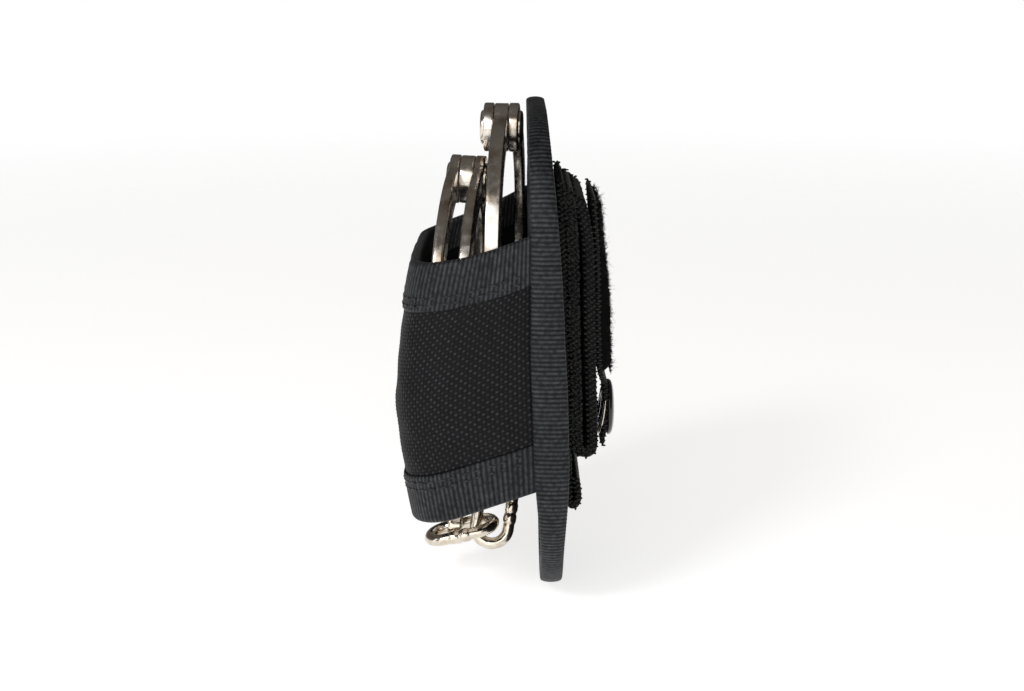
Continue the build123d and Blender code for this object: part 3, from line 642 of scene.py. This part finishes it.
def make_band_tape(name, top, replaced):
    """Grosgrain folded over an edge of the band, with two rows of stitches."""
    columns = 520
    sign = 1 if top else -1
    across = [(0.62, -TAPE_WIDTH * (1 - i / 22)) for i in range(22)]
    turn = (BAND_CLOTH + 1.3 * MM) / 2
    for i in range(11):
        a = math.pi * i / 10
        across.append(((-BAND_CLOTH / 2 + turn * math.cos(a)) / MM, turn * math.sin(a)))
    across += [((-BAND_CLOTH - 0.6 * MM) / MM, -8 * MM * (i + 1) / 14) for i in range(14)]

    def spot(i, j, sink):
        s = j / (columns - 1)
        out, rise = across[i]
        edge = edge_height(s, top)
        z = edge + sign * rise
        _, _, d = band_path(s, z)
        middle = -BAND_CLOTH / 2 / MM
        out = middle + (out - middle) * (1 - sink)
        height = rib(d, RIB_PITCH) if sink == 0 else 0
        lift = out * MM + (1 if out > middle else -1) * 0.14 * MM * height
        if sink == 0 and i == 0:
            lift -= 0.35 * MM
        wave = 0.35 * MM * wobble((d, i * 0.4 * MM, z), 8 * MM, 33 if top else 44)
        # The yarn tone is painted light: painted shade between the ribs, painted highlight on the rib tops.
        return band_point(s, z, lift + (wave if out > middle else 0) * 0.6, 0.3), 0.15 + 0.85 * height

    rows = len(across)
    vertices, faces, yarn = closed_shell(
        rows, columns, lambda i, j: spot(i, j, 0), lambda i, j: (spot(i, j, 0.42)[0], 0.3)
    )
    if not top:
        faces = [tuple(reversed(f)) for f in faces]
    piece = make_piece(name, vertices, faces, GROSGRAIN, "holder", yarn)
    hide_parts(replaced)

    stitches = []
    for row in (1.6 * MM, 3.4 * MM):
        count = 44
        for k in range(count):
            s = 0.02 + 0.96 * (k + 0.5) / count
            z = edge_height(s, top) - sign * (TAPE_WIDTH - row)
            here = band_point(s, z, 0.80 * MM, 0.3)
            there = band_point(s + 0.003, edge_height(s + 0.003, top) - sign * (TAPE_WIDTH - row), 0.80 * MM, 0.3)
            _, normal, _ = band_path(s, z)
            stitches.append((here, there - here, normal, 1.15 * MM, 0.26 * MM))
    beads(name + "_stitches", stitches, THREAD, "holder")


# ------------------------------------------------------------------ straps on the back


def walk(points, step):
    """Evenly spaced points along a smooth line through (y, z) points, with directions."""
    fine = []
    padded = [points[0] * 2 - points[1]] + points + [points[-1] * 2 - points[-2]]
    for a, b, c, d in zip(padded, padded[1:], padded[2:], padded[3:]):
        for i in range(24):
            t = i / 24
            fine.append(
                0.5 * ((2 * b) + (c - a) * t + (2 * a - 5 * b + 4 * c - d) * t * t + (3 * b - a - 3 * c + d) * t ** 3)
            )
    fine.append(points[-1])
    lengths = [0.0]
    for p, q in zip(fine, fine[1:]):
        lengths.append(lengths[-1] + (q - p).length)
    count = max(2, round(lengths[-1] / step))
    result, k = [], 0
    for i in range(count + 1):
        d = lengths[-1] * i / count
        while k < len(lengths) - 2 and lengths[k + 1] < d:
            k += 1
        t = (d - lengths[k]) / max(lengths[k + 1] - lengths[k], 1e-9)
        along = (fine[k + 1] - fine[k]).normalized()
        result.append((d, fine[k].lerp(fine[k + 1], t), along))
    return result


def strap_point(x, y, z):
    """A point on the back of the panel, which leans."""
    return Vector((x, y + lean(z), z))


def make_strap(name, route, half_at, thickness, body, replaced, seed):
    """Heavy webbing along a route in Y and Z, its ends rounded over; half_at(z) is half its width."""
    line = walk([Vector(p) for p in route], 0.42 * MM)
    total = line[-1][0]
    faces_across, edge_steps = 74, 7
    vertices, yarn = [], []
    for d, p, along in line:
        out = Vector((-along.y, along.x))
        half_width = half_at(p.y)
        taper = math.sqrt(max(0.02, min(1.0, min(d, total - d) / (0.6 * thickness))))
        for side in (1, -1):
            for j in range(faces_across):
                x = side * half_width * (0.975 * (1 - 2 * j / (faces_across - 1)))
                height, tone = plain_weave(x + 0.5 * side * d, d, 1.5 * MM)
                soft = 0.10 * MM * wobble((x, d, side), 11 * MM, seed)
                lift = taper * side * (thickness / 2 - 0.18 * MM + 0.18 * MM * height + soft * side)
                q = p + out * lift
                vertices.append(strap_point(x, q.x, q.y))
                yarn.append(tone)
            # The rounded edges take a dark yarn tone: painted shade.
            for j in range(1, edge_steps):
                a = math.pi * j / edge_steps
                x = -side * half_width * (0.975 + 0.025 * math.sin(a))
                q = p + out * side * math.cos(a) * (thickness / 2 - 0.18 * MM) * taper
                vertices.append(strap_point(x, q.x, q.y))
                yarn.append(0.1)
    faces = ring_faces(len(line), 2 * (faces_across + edge_steps - 1), False)
    piece = make_piece(name, vertices, faces, WEBBING, body, yarn)
    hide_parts(replaced)


def make_selvedge(name, route, half_at, thickness, body, pitch, columns, slant, loose, knot):
    """Small yarn knots down both edges of a strap, in rows that rise across its thickness.

    The rows are pitch apart; loose is how far knots stray; knot is (half length, half width)."""
    places = []
    line = walk([Vector(p) for p in route], pitch / 2)
    for side in (1, -1):
        for row, (d, p, along) in enumerate(line):
            out = Vector((-along.y, along.x))
            for k in range(columns):
                t = (k + 0.5) / columns - 0.5
                if (row + k) % 2 and loose < 0.2 * MM:
                    continue
                across = t * (thickness - 0.7 * knot[1])
                stray = [RNG.gauss(0, loose) for _ in range(3)]
                shift = slant * t * pitch + stray[0]
                q = p + out * (across + 0.6 * stray[1]) + along * shift
                angle = math.radians(28) * slant + RNG.gauss(0, 1.2) * loose / MM
                way = out * math.cos(angle) + along * math.sin(angle)
                bulge = half_at(p.y) + 0.12 * MM * (1 - (2 * t) ** 2) + 0.3 * stray[2]
                size = 1 + RNG.uniform(-0.15, 0.15)
                places.append(
                    (strap_point(side * bulge, q.x, q.y), Vector((0, way.x, way.y)), Vector((1, 0, 0)),
                     knot[0] * size, knot[1] * size)
                )
    beads(name, places, WEBBING, body, sides=7, rings=6)


LOOP_LEG = 2.9 * MM
LADDER_THICKNESS = 1.9 * MM
KEEPER_THICKNESS = 1.35 * MM


def belt_loop_route():
    """Down the inner leg, round the foot of the channel and up the outer leg."""
    leg_y = LOOP_HIGH.y - LOOP_LEG / 2
    turn_z = LOOP_LOW.z + leg_y + LOOP_LEG / 2
    top = LOOP_HIGH.z
    return [
        (-leg_y - 0.5 * MM, top + 0.2 * MM),
        (-leg_y - 0.2 * MM, top - 4 * MM),
        (-leg_y, top - 12 * MM),
        (-leg_y, 8 * MM),
        (-leg_y, -12 * MM),
        (-leg_y, turn_z + 2 * MM),
        (-leg_y * 0.80, turn_z - leg_y * 0.60),
        (0, turn_z - leg_y),
        (leg_y * 0.80, turn_z - leg_y * 0.60),
        (leg_y, turn_z + 2 * MM),
        (leg_y, -12 * MM),
        (leg_y, 8 * MM),
        (leg_y, top - 15 * MM),
        (leg_y - 0.5 * MM, top - 9 * MM),
        (leg_y - 1.5 * MM, top - 4 * MM),
        (leg_y - 2.7 * MM, top - 1.6 * MM),
    ]


def ladder_route():
    """Down the panel's back, folded under at its lower end."""
    inner = LADDER_LOW.y + 1.0 * MM
    fold = LADDER_LOW.z
    return [
        (inner + 0.1 * MM, LADDER_HIGH.z + 0.8 * MM),
        (inner, LADDER_HIGH.z - 8 * MM),
        (inner, 0),
        (inner, fold + 12 * MM),
        (inner + 0.1 * MM, fold + 3 * MM),
        (inner + 0.9 * MM, fold + 0.9 * MM),
        (inner + 2.2 * MM, fold + 1.7 * MM),
        (inner + 2.5 * MM, fold + 4 * MM),
        (inner + 2.0 * MM, fold + 8.5 * MM),
    ]


def keeper_route():
    """Down the outer leg, then a step out over the press snap."""
    tape = KEEPER_LOW.y + KEEPER_THICKNESS / 2
    step = KEEPER_HIGH.y - KEEPER_THICKNESS / 2 - 0.3 * MM
    foot = KEEPER_LOW.z
    return [
        (tape - 0.3 * MM, KEEPER_HIGH.z - 0.3 * MM),
        (tape, KEEPER_HIGH.z - 14 * MM),
        (tape, 4 * MM),
        (tape + 0.1 * MM, -7 * MM),
        (tape + 1.1 * MM, -10.5 * MM),
        (step - 0.1 * MM, -14 * MM),
        (step, -20 * MM),
        (step - 0.3 * MM, foot + 5 * MM),
        (step - 0.9 * MM, foot + 2 * MM),
        (step - 1.0 * MM, foot),
    ]


TAB_HALF = 6.2 * MM
TAB_TOP = -14 * MM
TAB_SHOULDER = -9 * MM


def keeper_half(z):
    """The keeper is full width under the pile and narrows to a tab for the snap."""
    full = KEEPER_HIGH.x - 0.4 * MM
    if z > TAB_SHOULDER:
        return full
    share = min(1.0, (TAB_SHOULDER - z) / (TAB_SHOULDER - TAB_TOP))
    return full + (TAB_HALF - full) * share


def loop_half(z):
    """The belt loop and the ladder webbing are one width all along."""
    return LOOP_HIGH.x - 0.45 * MM


def make_straps():
    loop, ladder, keeper = belt_loop_route(), ladder_route(), keeper_route()
    proud = 0.3 * MM
    make_strap("belt_loop_strap", loop, loop_half, LOOP_LEG, "holder", "belt_loop_webbing", 2)
    make_strap("ladder_strap", ladder, loop_half, LADDER_THICKNESS, "holder", "ladder_webbing", 4)
    make_strap("keeper_strap", keeper, keeper_half, KEEPER_THICKNESS, "keeper", "keeper_tab", 6)
    thick, fine, flat = (0.52 * MM, 0.33 * MM), (0.45 * MM, 0.26 * MM), (0.62 * MM, 0.27 * MM)
    make_selvedge(
        "belt_loop_selvedge", loop, loop_half, LOOP_LEG + proud, "holder", 1.42 * MM, 4, 0.55, 0.09 * MM, thick
    )
    make_selvedge(
        "belt_loop_loose_yarn", loop[:7], loop_half, LOOP_LEG + proud, "holder", 1.1 * MM, 3, 0.2, 0.25 * MM, fine
    )
    make_selvedge(
        "ladder_selvedge", ladder, loop_half, LADDER_THICKNESS + proud, "holder", 1.3 * MM, 3, 0.5, 0.12 * MM, thick
    )
    make_selvedge(
        "keeper_selvedge", keeper, keeper_half, KEEPER_THICKNESS, "keeper", 1.4 * MM, 2, 0.0, 0.04 * MM, flat
    )
    make_cut_edge("belt_loop_top_yarn", loop[0], 3, -1)
    make_cut_edge("belt_loop_end_yarn", loop[-1], 4, 1)
    make_cut_edge("ladder_top_yarn", ladder[0], 3, 1)
    make_strap_stitches()


def make_cut_edge(name, end, rows, facing):
    """The yarn knots across a strap's cut upper end, in rows going down its back."""
    places = []
    y, top = end
    half = loop_half(top)
    count = round(2 * half / (0.95 * MM))
    for row in range(rows):
        for k in range(count):
            x = half * (2 * (k + 0.5 * (row % 2)) / (count - 1) - 1)
            if abs(x) > half:
                continue
            z = top - (0.1 + 0.75 * row) * MM + RNG.gauss(0, 0.12) * MM
            out = y + (0.2 + 0.32 * row) * MM * facing + RNG.gauss(0, 0.08) * MM
            angle = RNG.gauss(0, 0.5)
            way = Vector((math.cos(angle), 0, math.sin(angle)))
            places.append((strap_point(x, out, z), way, Vector((0, 1, 0)), 0.55 * MM, 0.36 * MM))
    beads(name, places, WEBBING, "holder", sides=7, rings=6)


def make_strap_stitches():
    """The bar tack that sews the belt loop's upper end to the ladder webbing."""
    places = []
    half = loop_half(0)
    outer = LOOP_HIGH.y
    for row in range(3):
        for k in range(14):
            x = -half + 3 * MM + k * (2 * half - 6 * MM) / 13
            z = LOOP_HIGH.z - 17 * MM - row * 2.2 * MM
            centre = strap_point(x, outer - 0.05 * MM, z)
            places.append((centre, Vector((1, 0, 0)), Vector((0, 0, 1)), 1.1 * MM, 0.22 * MM))
    beads("belt_loop_bar_tack", places, THREAD, "holder")


def pile_height(z):
    """The pile is trodden flat at its upper end and fuller below."""
    return (0.7 + 1.7 * ease((PILE_HIGH.z - z) / (30 * MM))) * MM


def make_pile():
    """The loop pile: a soft pad with thousands of short curled hairs standing from it."""
    low, high = PILE_LOW, PILE_HIGH
    rows, columns = 110, 86
    base = low.y - 0.05 * MM

    def spot(i, j, back):
        u, v = 2 * j / (columns - 1) - 1, 2 * i / (rows - 1) - 1
        x = (low.x + high.x) / 2 + u * (high.x - low.x) / 2
        z = (low.z + high.z) / 2 + v * (high.z - low.z) / 2
        edge = min(1.0, (1 - abs(u)) * 9) ** 0.5 * min(1.0, (1 - abs(v)) * 11) ** 0.5
        lump = 0.32 * MM * wobble((x, 0, z), 1.3 * MM, 8) + 0.25 * MM * wobble((x, 0, z), 5 * MM, 12)
        y = base if back else base + (pile_height(z) + lump) * edge + 0.1 * MM
        # Yarn tone: painted light, paler where the pile stands proud and darker in the dips between lumps for painted
        # shade.
        return strap_point(x, y, z), 0.3 + 0.5 * (lump / MM)

    vertices, faces, yarn = closed_shell(
        rows, columns, lambda i, j: spot(i, j, False), lambda i, j: spot(i, j, True)
    )
    piece = make_piece("pile_pad", vertices, [tuple(reversed(f)) for f in faces], PILE, "keeper", yarn)
    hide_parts("pile_face")

    vertices, faces, yarn = [], [], []
    random_hair = random.Random(23)
    for _ in range(6500):
        u, v = random_hair.uniform(-1, 1), random_hair.uniform(-1, 1)
        x = u * high.x
        z = (low.z + high.z) / 2 + v * (high.z - low.z) / 2
        root = strap_point(x, base + pile_height(z) - 0.5 * MM, z)
        outward = Vector((0.5 * u ** 5 + random_hair.gauss(0, 0.5), 1, 0.5 * v ** 7 + random_hair.gauss(0, 0.5))).normalized()
        stray = random_hair.random() < 0.05
        length = (random_hair.uniform(2.2, 3.9) if stray else random_hair.uniform(1.0, 2.0)) * MM
        curl = Vector((random_hair.gauss(0, 1), random_hair.gauss(0, 0.35), random_hair.gauss(0, 1))) * 0.6
        width = (0.045 if stray else 0.075) * MM
        start, point, heading = len(vertices), root, outward
        steps = 5
        for k in range(steps):
            side = heading.orthogonal().normalized()
            third = heading.cross(side)
            w = width * (1 - 0.5 * k / steps)
            for m in range(3):
                a = 2 * math.pi * m / 3
                vertices.append(point + side * w * math.cos(a) + third * w * math.sin(a))
                # Yarn tone: painted shade at each hair's root, lighter towards its tip.
                yarn.append(0.3 + 0.7 * k / steps)
            heading = (heading + curl * 0.55).normalized()
            point = point + heading * length / steps
        for k in range(steps - 1):
            a, b = start + 3 * k, start + 3 * (k + 1)
            for m in range(3):
                n = (m + 1) % 3
                faces.append((a + m, a + n, b + n, b + m))
        end = start + 3 * (steps - 1)
        faces.append((end, end + 1, end + 2))
        faces.append((start + 2, start + 1, start))
    make_piece("pile_hairs", vertices, faces, PILE, "keeper", yarn)


SOCKET_TILT = math.tan(math.radians(8))


def make_tilted_ring(name, centre, profile, material, replaced):
    """A closed turned ring on the keeper that leans out at its top with the tab."""
    vertices, sides = [], 96
    for y, radius in profile:
        for j in range(sides):
            a = 2 * math.pi * j / sides
            rise = radius * math.sin(a)
            vertices.append((centre.x + radius * math.cos(a), y + rise * SOCKET_TILT, centre.z + rise))
    ring = make_piece(name, vertices, ring_faces(len(profile), sides, True), material, "keeper")
    if replaced:
        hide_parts(replaced)


def make_snap():
    centre = Vector(((CAP_LOW.x + CAP_HIGH.x) / 2, 0, (CAP_LOW.z + CAP_HIGH.z) / 2))
    shift = lean(centre.z)
    radius = (CAP_HIGH.x - CAP_LOW.x) / 2
    back, face = CAP_LOW.y - 0.5 * MM + shift, CAP_HIGH.y - 0.5 * MM + shift
    dome = [(back, 0.0001 * MM), (back, radius * 0.93), (back + 0.25 * MM, radius), (back + 0.65 * MM, radius)]
    for i in range(13):
        a = math.radians(90 * i / 12)
        dome.append((back + 0.75 * MM + (face - back - 0.75 * MM) * math.sin(a), radius * (0.985 * math.cos(a) ** 0.62 + 0.0001)))
    cap = lathe("snap_cap_dome", centre, dome, SNAP_BLACK, "keeper", 96)
    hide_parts("snap_cap")

    inner, outer = SOCKET_LOW.y + 0.45 * MM + shift, SOCKET_HIGH.y + shift
    r = (SOCKET_HIGH.x - SOCKET_LOW.x) / 2
    socket_profile = [
        (inner + 0.3 * MM, 2.1 * MM), (inner, 2.6 * MM), (inner, 3.9 * MM), (inner + 0.3 * MM, 4.6 * MM),
        (inner + 0.3 * MM, r - 1.3 * MM), (inner + 0.05 * MM, r - 0.8 * MM), (inner + 0.05 * MM, r - 0.25 * MM),
        (inner + 0.3 * MM, r), (outer - 0.3 * MM, r), (outer, r - 0.4 * MM), (outer, 2.1 * MM),
    ]
    make_tilted_ring("snap_socket_ring", centre, socket_profile, SNAP_BLACK, "snap_socket")
    # A thin bright nickel ring round the black socket's outer edge is a painted highlight: it stands in for the
    # highlight line along that edge.
    tube = 0.30 * MM
    highlight_rim_profile = []
    for i in range(16):
        a = -2 * math.pi * i / 16
        highlight_rim_profile.append((outer - 0.1 * MM + tube * math.sin(a), r + 0.1 * MM + tube * math.cos(a)))
    make_tilted_ring("snap_socket_highlight_rim", centre, highlight_rim_profile, BRIGHT_NICKEL, None)

    low, high = STUD_LOW.y, STUD_HIGH.y
    stud_radius = (STUD_HIGH.x - STUD_LOW.x) / 2
    flange = low + 0.8 * MM
    stud_profile = [
        (low, 0.0001 * MM), (low, stud_radius - 0.2 * MM), (low + 0.2 * MM, stud_radius), (flange - 0.2 * MM, stud_radius),
        (flange, stud_radius - 0.3 * MM), (flange - 0.25 * MM, stud_radius - 1.2 * MM), (flange - 0.25 * MM, 2.9 * MM),
        (flange, 2.3 * MM), (flange + 0.1 * MM, 1.95 * MM), (high - 0.3 * MM, 1.95 * MM), (high, 1.5 * MM), (high, 0.0001 * MM),
    ]
    stud = lathe("snap_stud_post", centre, stud_profile, SNAP_BLACK, "holder", 72)
    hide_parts("snap_stud")


# ------------------------------------------------------------------ handcuffs
def make_polished(node, material, body, width, segments=3):
    """A node's shape with its sharp edges rounded off, as worn metal has them."""
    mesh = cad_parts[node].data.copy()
    mesh.name = node + "_worn"
    shape = bmesh.new()
    shape.from_mesh(mesh)
    bmesh.ops.remove_doubles(shape, verts=shape.verts, dist=0.002 * MM)
    bmesh.ops.dissolve_limit(
        shape, angle_limit=math.radians(0.6), verts=shape.verts, edges=shape.edges, use_dissolve_boundaries=False
    )
    sharp = [e for e in shape.edges if len(e.link_faces) == 2 and e.calc_face_angle(0) > math.radians(38)]
    bmesh.ops.bevel(
        shape, geom=sharp, offset=width, offset_type="OFFSET", segments=segments, profile=0.5,
        affect="EDGES", clamp_overlap=False, miter_outer="ARC",
    )
    bmesh.ops.remove_doubles(shape, verts=shape.verts, dist=0.004 * MM)
    bmesh.ops.triangulate(shape, faces=[f for f in shape.faces if len(f.verts) > 4])
    shape.to_mesh(mesh)
    shape.free()
    mesh.materials.clear()
    mesh.materials.append(material)
    mesh.polygons.foreach_set("use_smooth", [True] * len(mesh.polygons))
    mesh.set_sharp_from_angle(angle=math.radians(32))
    piece = bpy.data.objects.new(node + "_worn", mesh)
    bpy.context.scene.collection.objects.link(piece)
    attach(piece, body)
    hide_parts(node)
    return piece


def make_cuff(letter):
    name, body = f"cuff_{letter}", f"cuff_{letter}"
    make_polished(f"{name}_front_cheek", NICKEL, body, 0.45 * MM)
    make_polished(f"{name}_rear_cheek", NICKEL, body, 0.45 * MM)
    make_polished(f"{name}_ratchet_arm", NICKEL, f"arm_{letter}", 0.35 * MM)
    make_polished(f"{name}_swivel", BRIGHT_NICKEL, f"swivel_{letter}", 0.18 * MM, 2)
    carried = {
        "lock_core": NICKEL, "hinge_rivet": BRIGHT_NICKEL, "case_rivets": BRIGHT_NICKEL, "pawl": LOCK_STEEL,
        "pawl_pin": LOCK_STEEL, "pawl_spring": LOCK_STEEL, "lock_bar": LOCK_STEEL, "key_post": LOCK_STEEL,
    }
    for part, material in carried.items():
        carry(f"{name}_{part}", material)


def carry(node, material):
    """A node that stays as it is gets its detailed material."""
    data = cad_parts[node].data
    for index in range(len(data.materials)):
        data.materials[index] = material
    if not data.materials:
        data.materials.append(material)


# ------------------------------------------------------------------ chain
LINK_WIRE = 1.6 * MM
LINK_HALF_WIDTH = 4.4 * MM
LINK_STRAIGHT = 4.5 * MM
LINK_1_SLOPE, LINK_1_ROLL, LINK_1_YAW = (math.radians(a) for a in (15, 3, 5.5))
LINK_2_LEAN, LINK_2_TILT = (math.radians(a) for a in (9, 17))


def link_frame(node, along, across):
    """The middle of a link's node and its two directions."""
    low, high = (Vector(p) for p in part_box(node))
    return (low + high) / 2, along.normalized(), across.normalized()


def make_link(node, body, middle, along, across, weld_side, seed):
    """An oval of round wire with a two-lump weld in the middle of one bar."""
    normal = along.cross(across)
    turn = math.pi * LINK_HALF_WIDTH
    total = 4 * LINK_STRAIGHT + 2 * turn
    rings, sides = 220, 28
    vertices = []
    for i in range(rings):
        d = total * i / rings
        if d < 2 * LINK_STRAIGHT:
            p = Vector((-LINK_STRAIGHT + d, LINK_HALF_WIDTH))
            out = Vector((0, 1))
        elif d < 2 * LINK_STRAIGHT + turn:
            a = math.pi / 2 - (d - 2 * LINK_STRAIGHT) / LINK_HALF_WIDTH
            out = Vector((math.cos(a), math.sin(a)))
            p = Vector((LINK_STRAIGHT, 0)) + out * LINK_HALF_WIDTH
        elif d < 4 * LINK_STRAIGHT + turn:
            p = Vector((LINK_STRAIGHT - (d - 2 * LINK_STRAIGHT - turn), -LINK_HALF_WIDTH))
            out = Vector((0, -1))
        else:
            a = -math.pi / 2 - (d - 4 * LINK_STRAIGHT - turn) / LINK_HALF_WIDTH
            out = Vector((math.cos(a), math.sin(a)))
            p = Vector((-LINK_STRAIGHT, 0)) + out * LINK_HALF_WIDTH
        place = (p.x if p.y * weld_side > 0 and abs(p.y) > 0.95 * LINK_HALF_WIDTH else 1.0) / MM
        lump = 0.26 * math.exp(-((place - 1.5) / 1.2) ** 4) + 0.22 * math.exp(-((place + 1.5) / 1.2) ** 4)
        groove = 0.05 * math.exp(-((abs(place) - 2.9) / 0.25) ** 2) + 0.06 * math.exp(-(place / 0.3) ** 2)
        centre = middle + along * p.x + across * p.y
        outward = along * out.x + across * out.y
        for j in range(sides):
            a = 2 * math.pi * j / sides
            way = outward * math.cos(a) + normal * math.sin(a)
            weld = (lump - groove) * MM if p.y * weld_side > 0 and abs(place) < 4 else 0
            rough = 0.035 * MM * wobble(centre + way * LINK_WIRE, 1.2 * MM, seed)
            rough += (0.06 * MM * wobble(centre + way * LINK_WIRE, 0.7 * MM, seed + 3)) if weld > 0.05 * MM else 0
            vertices.append(centre + way * (LINK_WIRE - 0.02 * MM + weld + rough))
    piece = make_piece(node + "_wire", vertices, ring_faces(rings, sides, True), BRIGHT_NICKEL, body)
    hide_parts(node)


def make_chain():
    cos, sin = math.cos, math.sin
    along_1 = Vector((sin(LINK_1_YAW) * cos(LINK_1_SLOPE), cos(LINK_1_YAW) * cos(LINK_1_SLOPE), sin(LINK_1_SLOPE)))
    level = along_1.cross(Vector((0, 0, 1))).normalized()
    across_1 = level * cos(LINK_1_ROLL) - level.cross(along_1) * sin(LINK_1_ROLL)
    middle, along, across = link_frame("chain_link_1", along_1, across_1)
    make_link("chain_link_1", "link_1", middle, along, across, 1, 5)
    down = Vector((sin(LINK_2_TILT), -sin(LINK_2_LEAN) * cos(LINK_2_TILT), -cos(LINK_2_LEAN) * cos(LINK_2_TILT)))
    side = down.cross(Vector((1, 0, 0))).normalized()
    middle, along, across = link_frame("chain_link_2", down, side)
    make_link("chain_link_2", "link_2", middle, along, across, -1, 6)


# ------------------------------------------------------------------ stage and light
FLOOR_FULL = 0.35
FLOOR_GONE = 1.1


def make_stage():
    """A pale glossy table top that melts into the white sweep behind it."""
    material, shader = new_material("studio_floor")
    nodes = material.node_tree.nodes
    grain = add_ramp(material, add_noise(material, 4, 2), [(0.3, (0.86, 0.86, 0.865)), (0.7, (0.88, 0.88, 0.88))])
    link(material, grain, shader.inputs["Base Color"])
    shader.inputs["Roughness"].default_value = 0.05
    shader.inputs["IOR"].default_value = 1.2
    shader.inputs["Emission Color"].default_value = (1, 1, 1, 1)
    shader.inputs["Emission Strength"].default_value = 0.72
    where, size = nodes.new("ShaderNodeTexCoord"), nodes.new("ShaderNodeVectorMath")
    size.operation = "LENGTH"
    link(material, where.outputs["Object"], size.inputs[0])
    far = add_range(material, size.outputs["Value"], FLOOR_FULL, FLOOR_GONE, 0.0, 1.0)
    clear, mix = nodes.new("ShaderNodeBsdfTransparent"), nodes.new("ShaderNodeMixShader")
    link(material, far, mix.inputs["Fac"])
    link(material, shader.outputs["BSDF"], mix.inputs[1])
    link(material, clear.outputs["BSDF"], mix.inputs[2])
    link(material, mix.outputs["Shader"], nodes["Material Output"].inputs["Surface"])
    reach = 1.3
    mesh = bpy.data.meshes.new("studio_floor")
    corners = [(-reach, -reach, 0), (reach, -reach, 0), (reach, reach, 0), (-reach, reach, 0)]
    mesh.from_pydata(corners, [], [(0, 1, 2, 3)])
    mesh.materials.append(material)
    stage = bpy.data.objects.new("studio_floor", mesh)
    stage.location = (0, 0, PANEL_LOW.z - 0.5 * MM)
    bpy.context.scene.collection.objects.link(stage)


def make_world():
    """White to the camera; to everything else a dim room over a white sweep."""
    world = bpy.data.worlds.new("studio")
    bpy.context.scene.world = world
    world.use_nodes = True
    nodes, links = world.node_tree.nodes, world.node_tree.links
    nodes.clear()
    output = nodes.new("ShaderNodeOutputWorld")
    seen = nodes.new("ShaderNodeBackground")
    lit = nodes.new("ShaderNodeBackground")
    mix = nodes.new("ShaderNodeMixShader")
    path = nodes.new("ShaderNodeLightPath")
    where = nodes.new("ShaderNodeTexCoord")
    split = nodes.new("ShaderNodeSeparateXYZ")
    ramp = nodes.new("ShaderNodeValToRGB")
    seen.inputs["Color"].default_value = (1, 1, 1, 1)
    seen.inputs["Strength"].default_value = 1.0
    links.new(where.outputs["Generated"], split.inputs["Vector"])
    shift = nodes.new("ShaderNodeMapRange")
    shift.inputs["From Min"].default_value = -1.0
    shift.inputs["From Max"].default_value = 1.0
    links.new(split.outputs["Z"], shift.inputs["Value"])
    links.new(shift.outputs["Result"], ramp.inputs["Fac"])
    stops = [
        (0.47, (0.95, 0.95, 0.95)),
        (0.53, (0.15, 0.14, 0.13)),
        (0.75, (0.08, 0.074, 0.068)),
        (1.0, (0.12, 0.11, 0.10)),
    ]
    while len(ramp.color_ramp.elements) < len(stops):
        ramp.color_ramp.elements.new(0.5)
    for element, (place, colour) in zip(ramp.color_ramp.elements, stops):
        element.position = place
        element.color = (*colour, 1)
    links.new(ramp.outputs["Color"], lit.inputs["Color"])
    lit.inputs["Strength"].default_value = 1.0
    links.new(path.outputs["Is Camera Ray"], mix.inputs["Fac"])
    links.new(lit.outputs["Background"], mix.inputs[1])
    links.new(seen.outputs["Background"], mix.inputs[2])
    links.new(mix.outputs["Shader"], output.inputs["Surface"])


def make_area(name, place, size, power):
    data = bpy.data.lights.new(name, "AREA")
    data.shape = "RECTANGLE"
    data.size, data.size_y = size
    data.energy = power
    lamp = bpy.data.objects.new(name, data)
    bpy.context.scene.collection.objects.link(lamp)
    lamp.location = place
    lamp.rotation_euler = (AIM - Vector(place)).to_track_quat("-Z", "Y").to_euler()


def make_lights():
    """One tall softbox behind the camera, a smaller key that throws the shadow, and a fill."""
    make_area("front_softbox", (1.5, -0.45, 0.68), (1.7, 1.5), 14)
    make_area("key", (0.95, -0.75, 0.85), (0.30, 0.30), 5)
    make_area("left_fill", (0.5, -1.3, 0.35), (0.5, 0.9), 1.6)


make_camera()
make_stage()
make_world()
make_lights()
bpy.context.scene.view_settings.view_transform = "Standard"
make_panel_core()
make_panel_cloth("panel_front_cloth", -1, "back_panel_face")
make_panel_cloth("panel_back_cloth", 1, "back_panel_back")
make_panel_binding()
make_band()
make_band_tape("band_top_tape", True, "band_top_binding")
make_band_tape("band_bottom_tape", False, "band_bottom_binding")
make_straps()
make_pile()
make_snap()
make_cuff("a")
make_cuff("b")
make_chain()
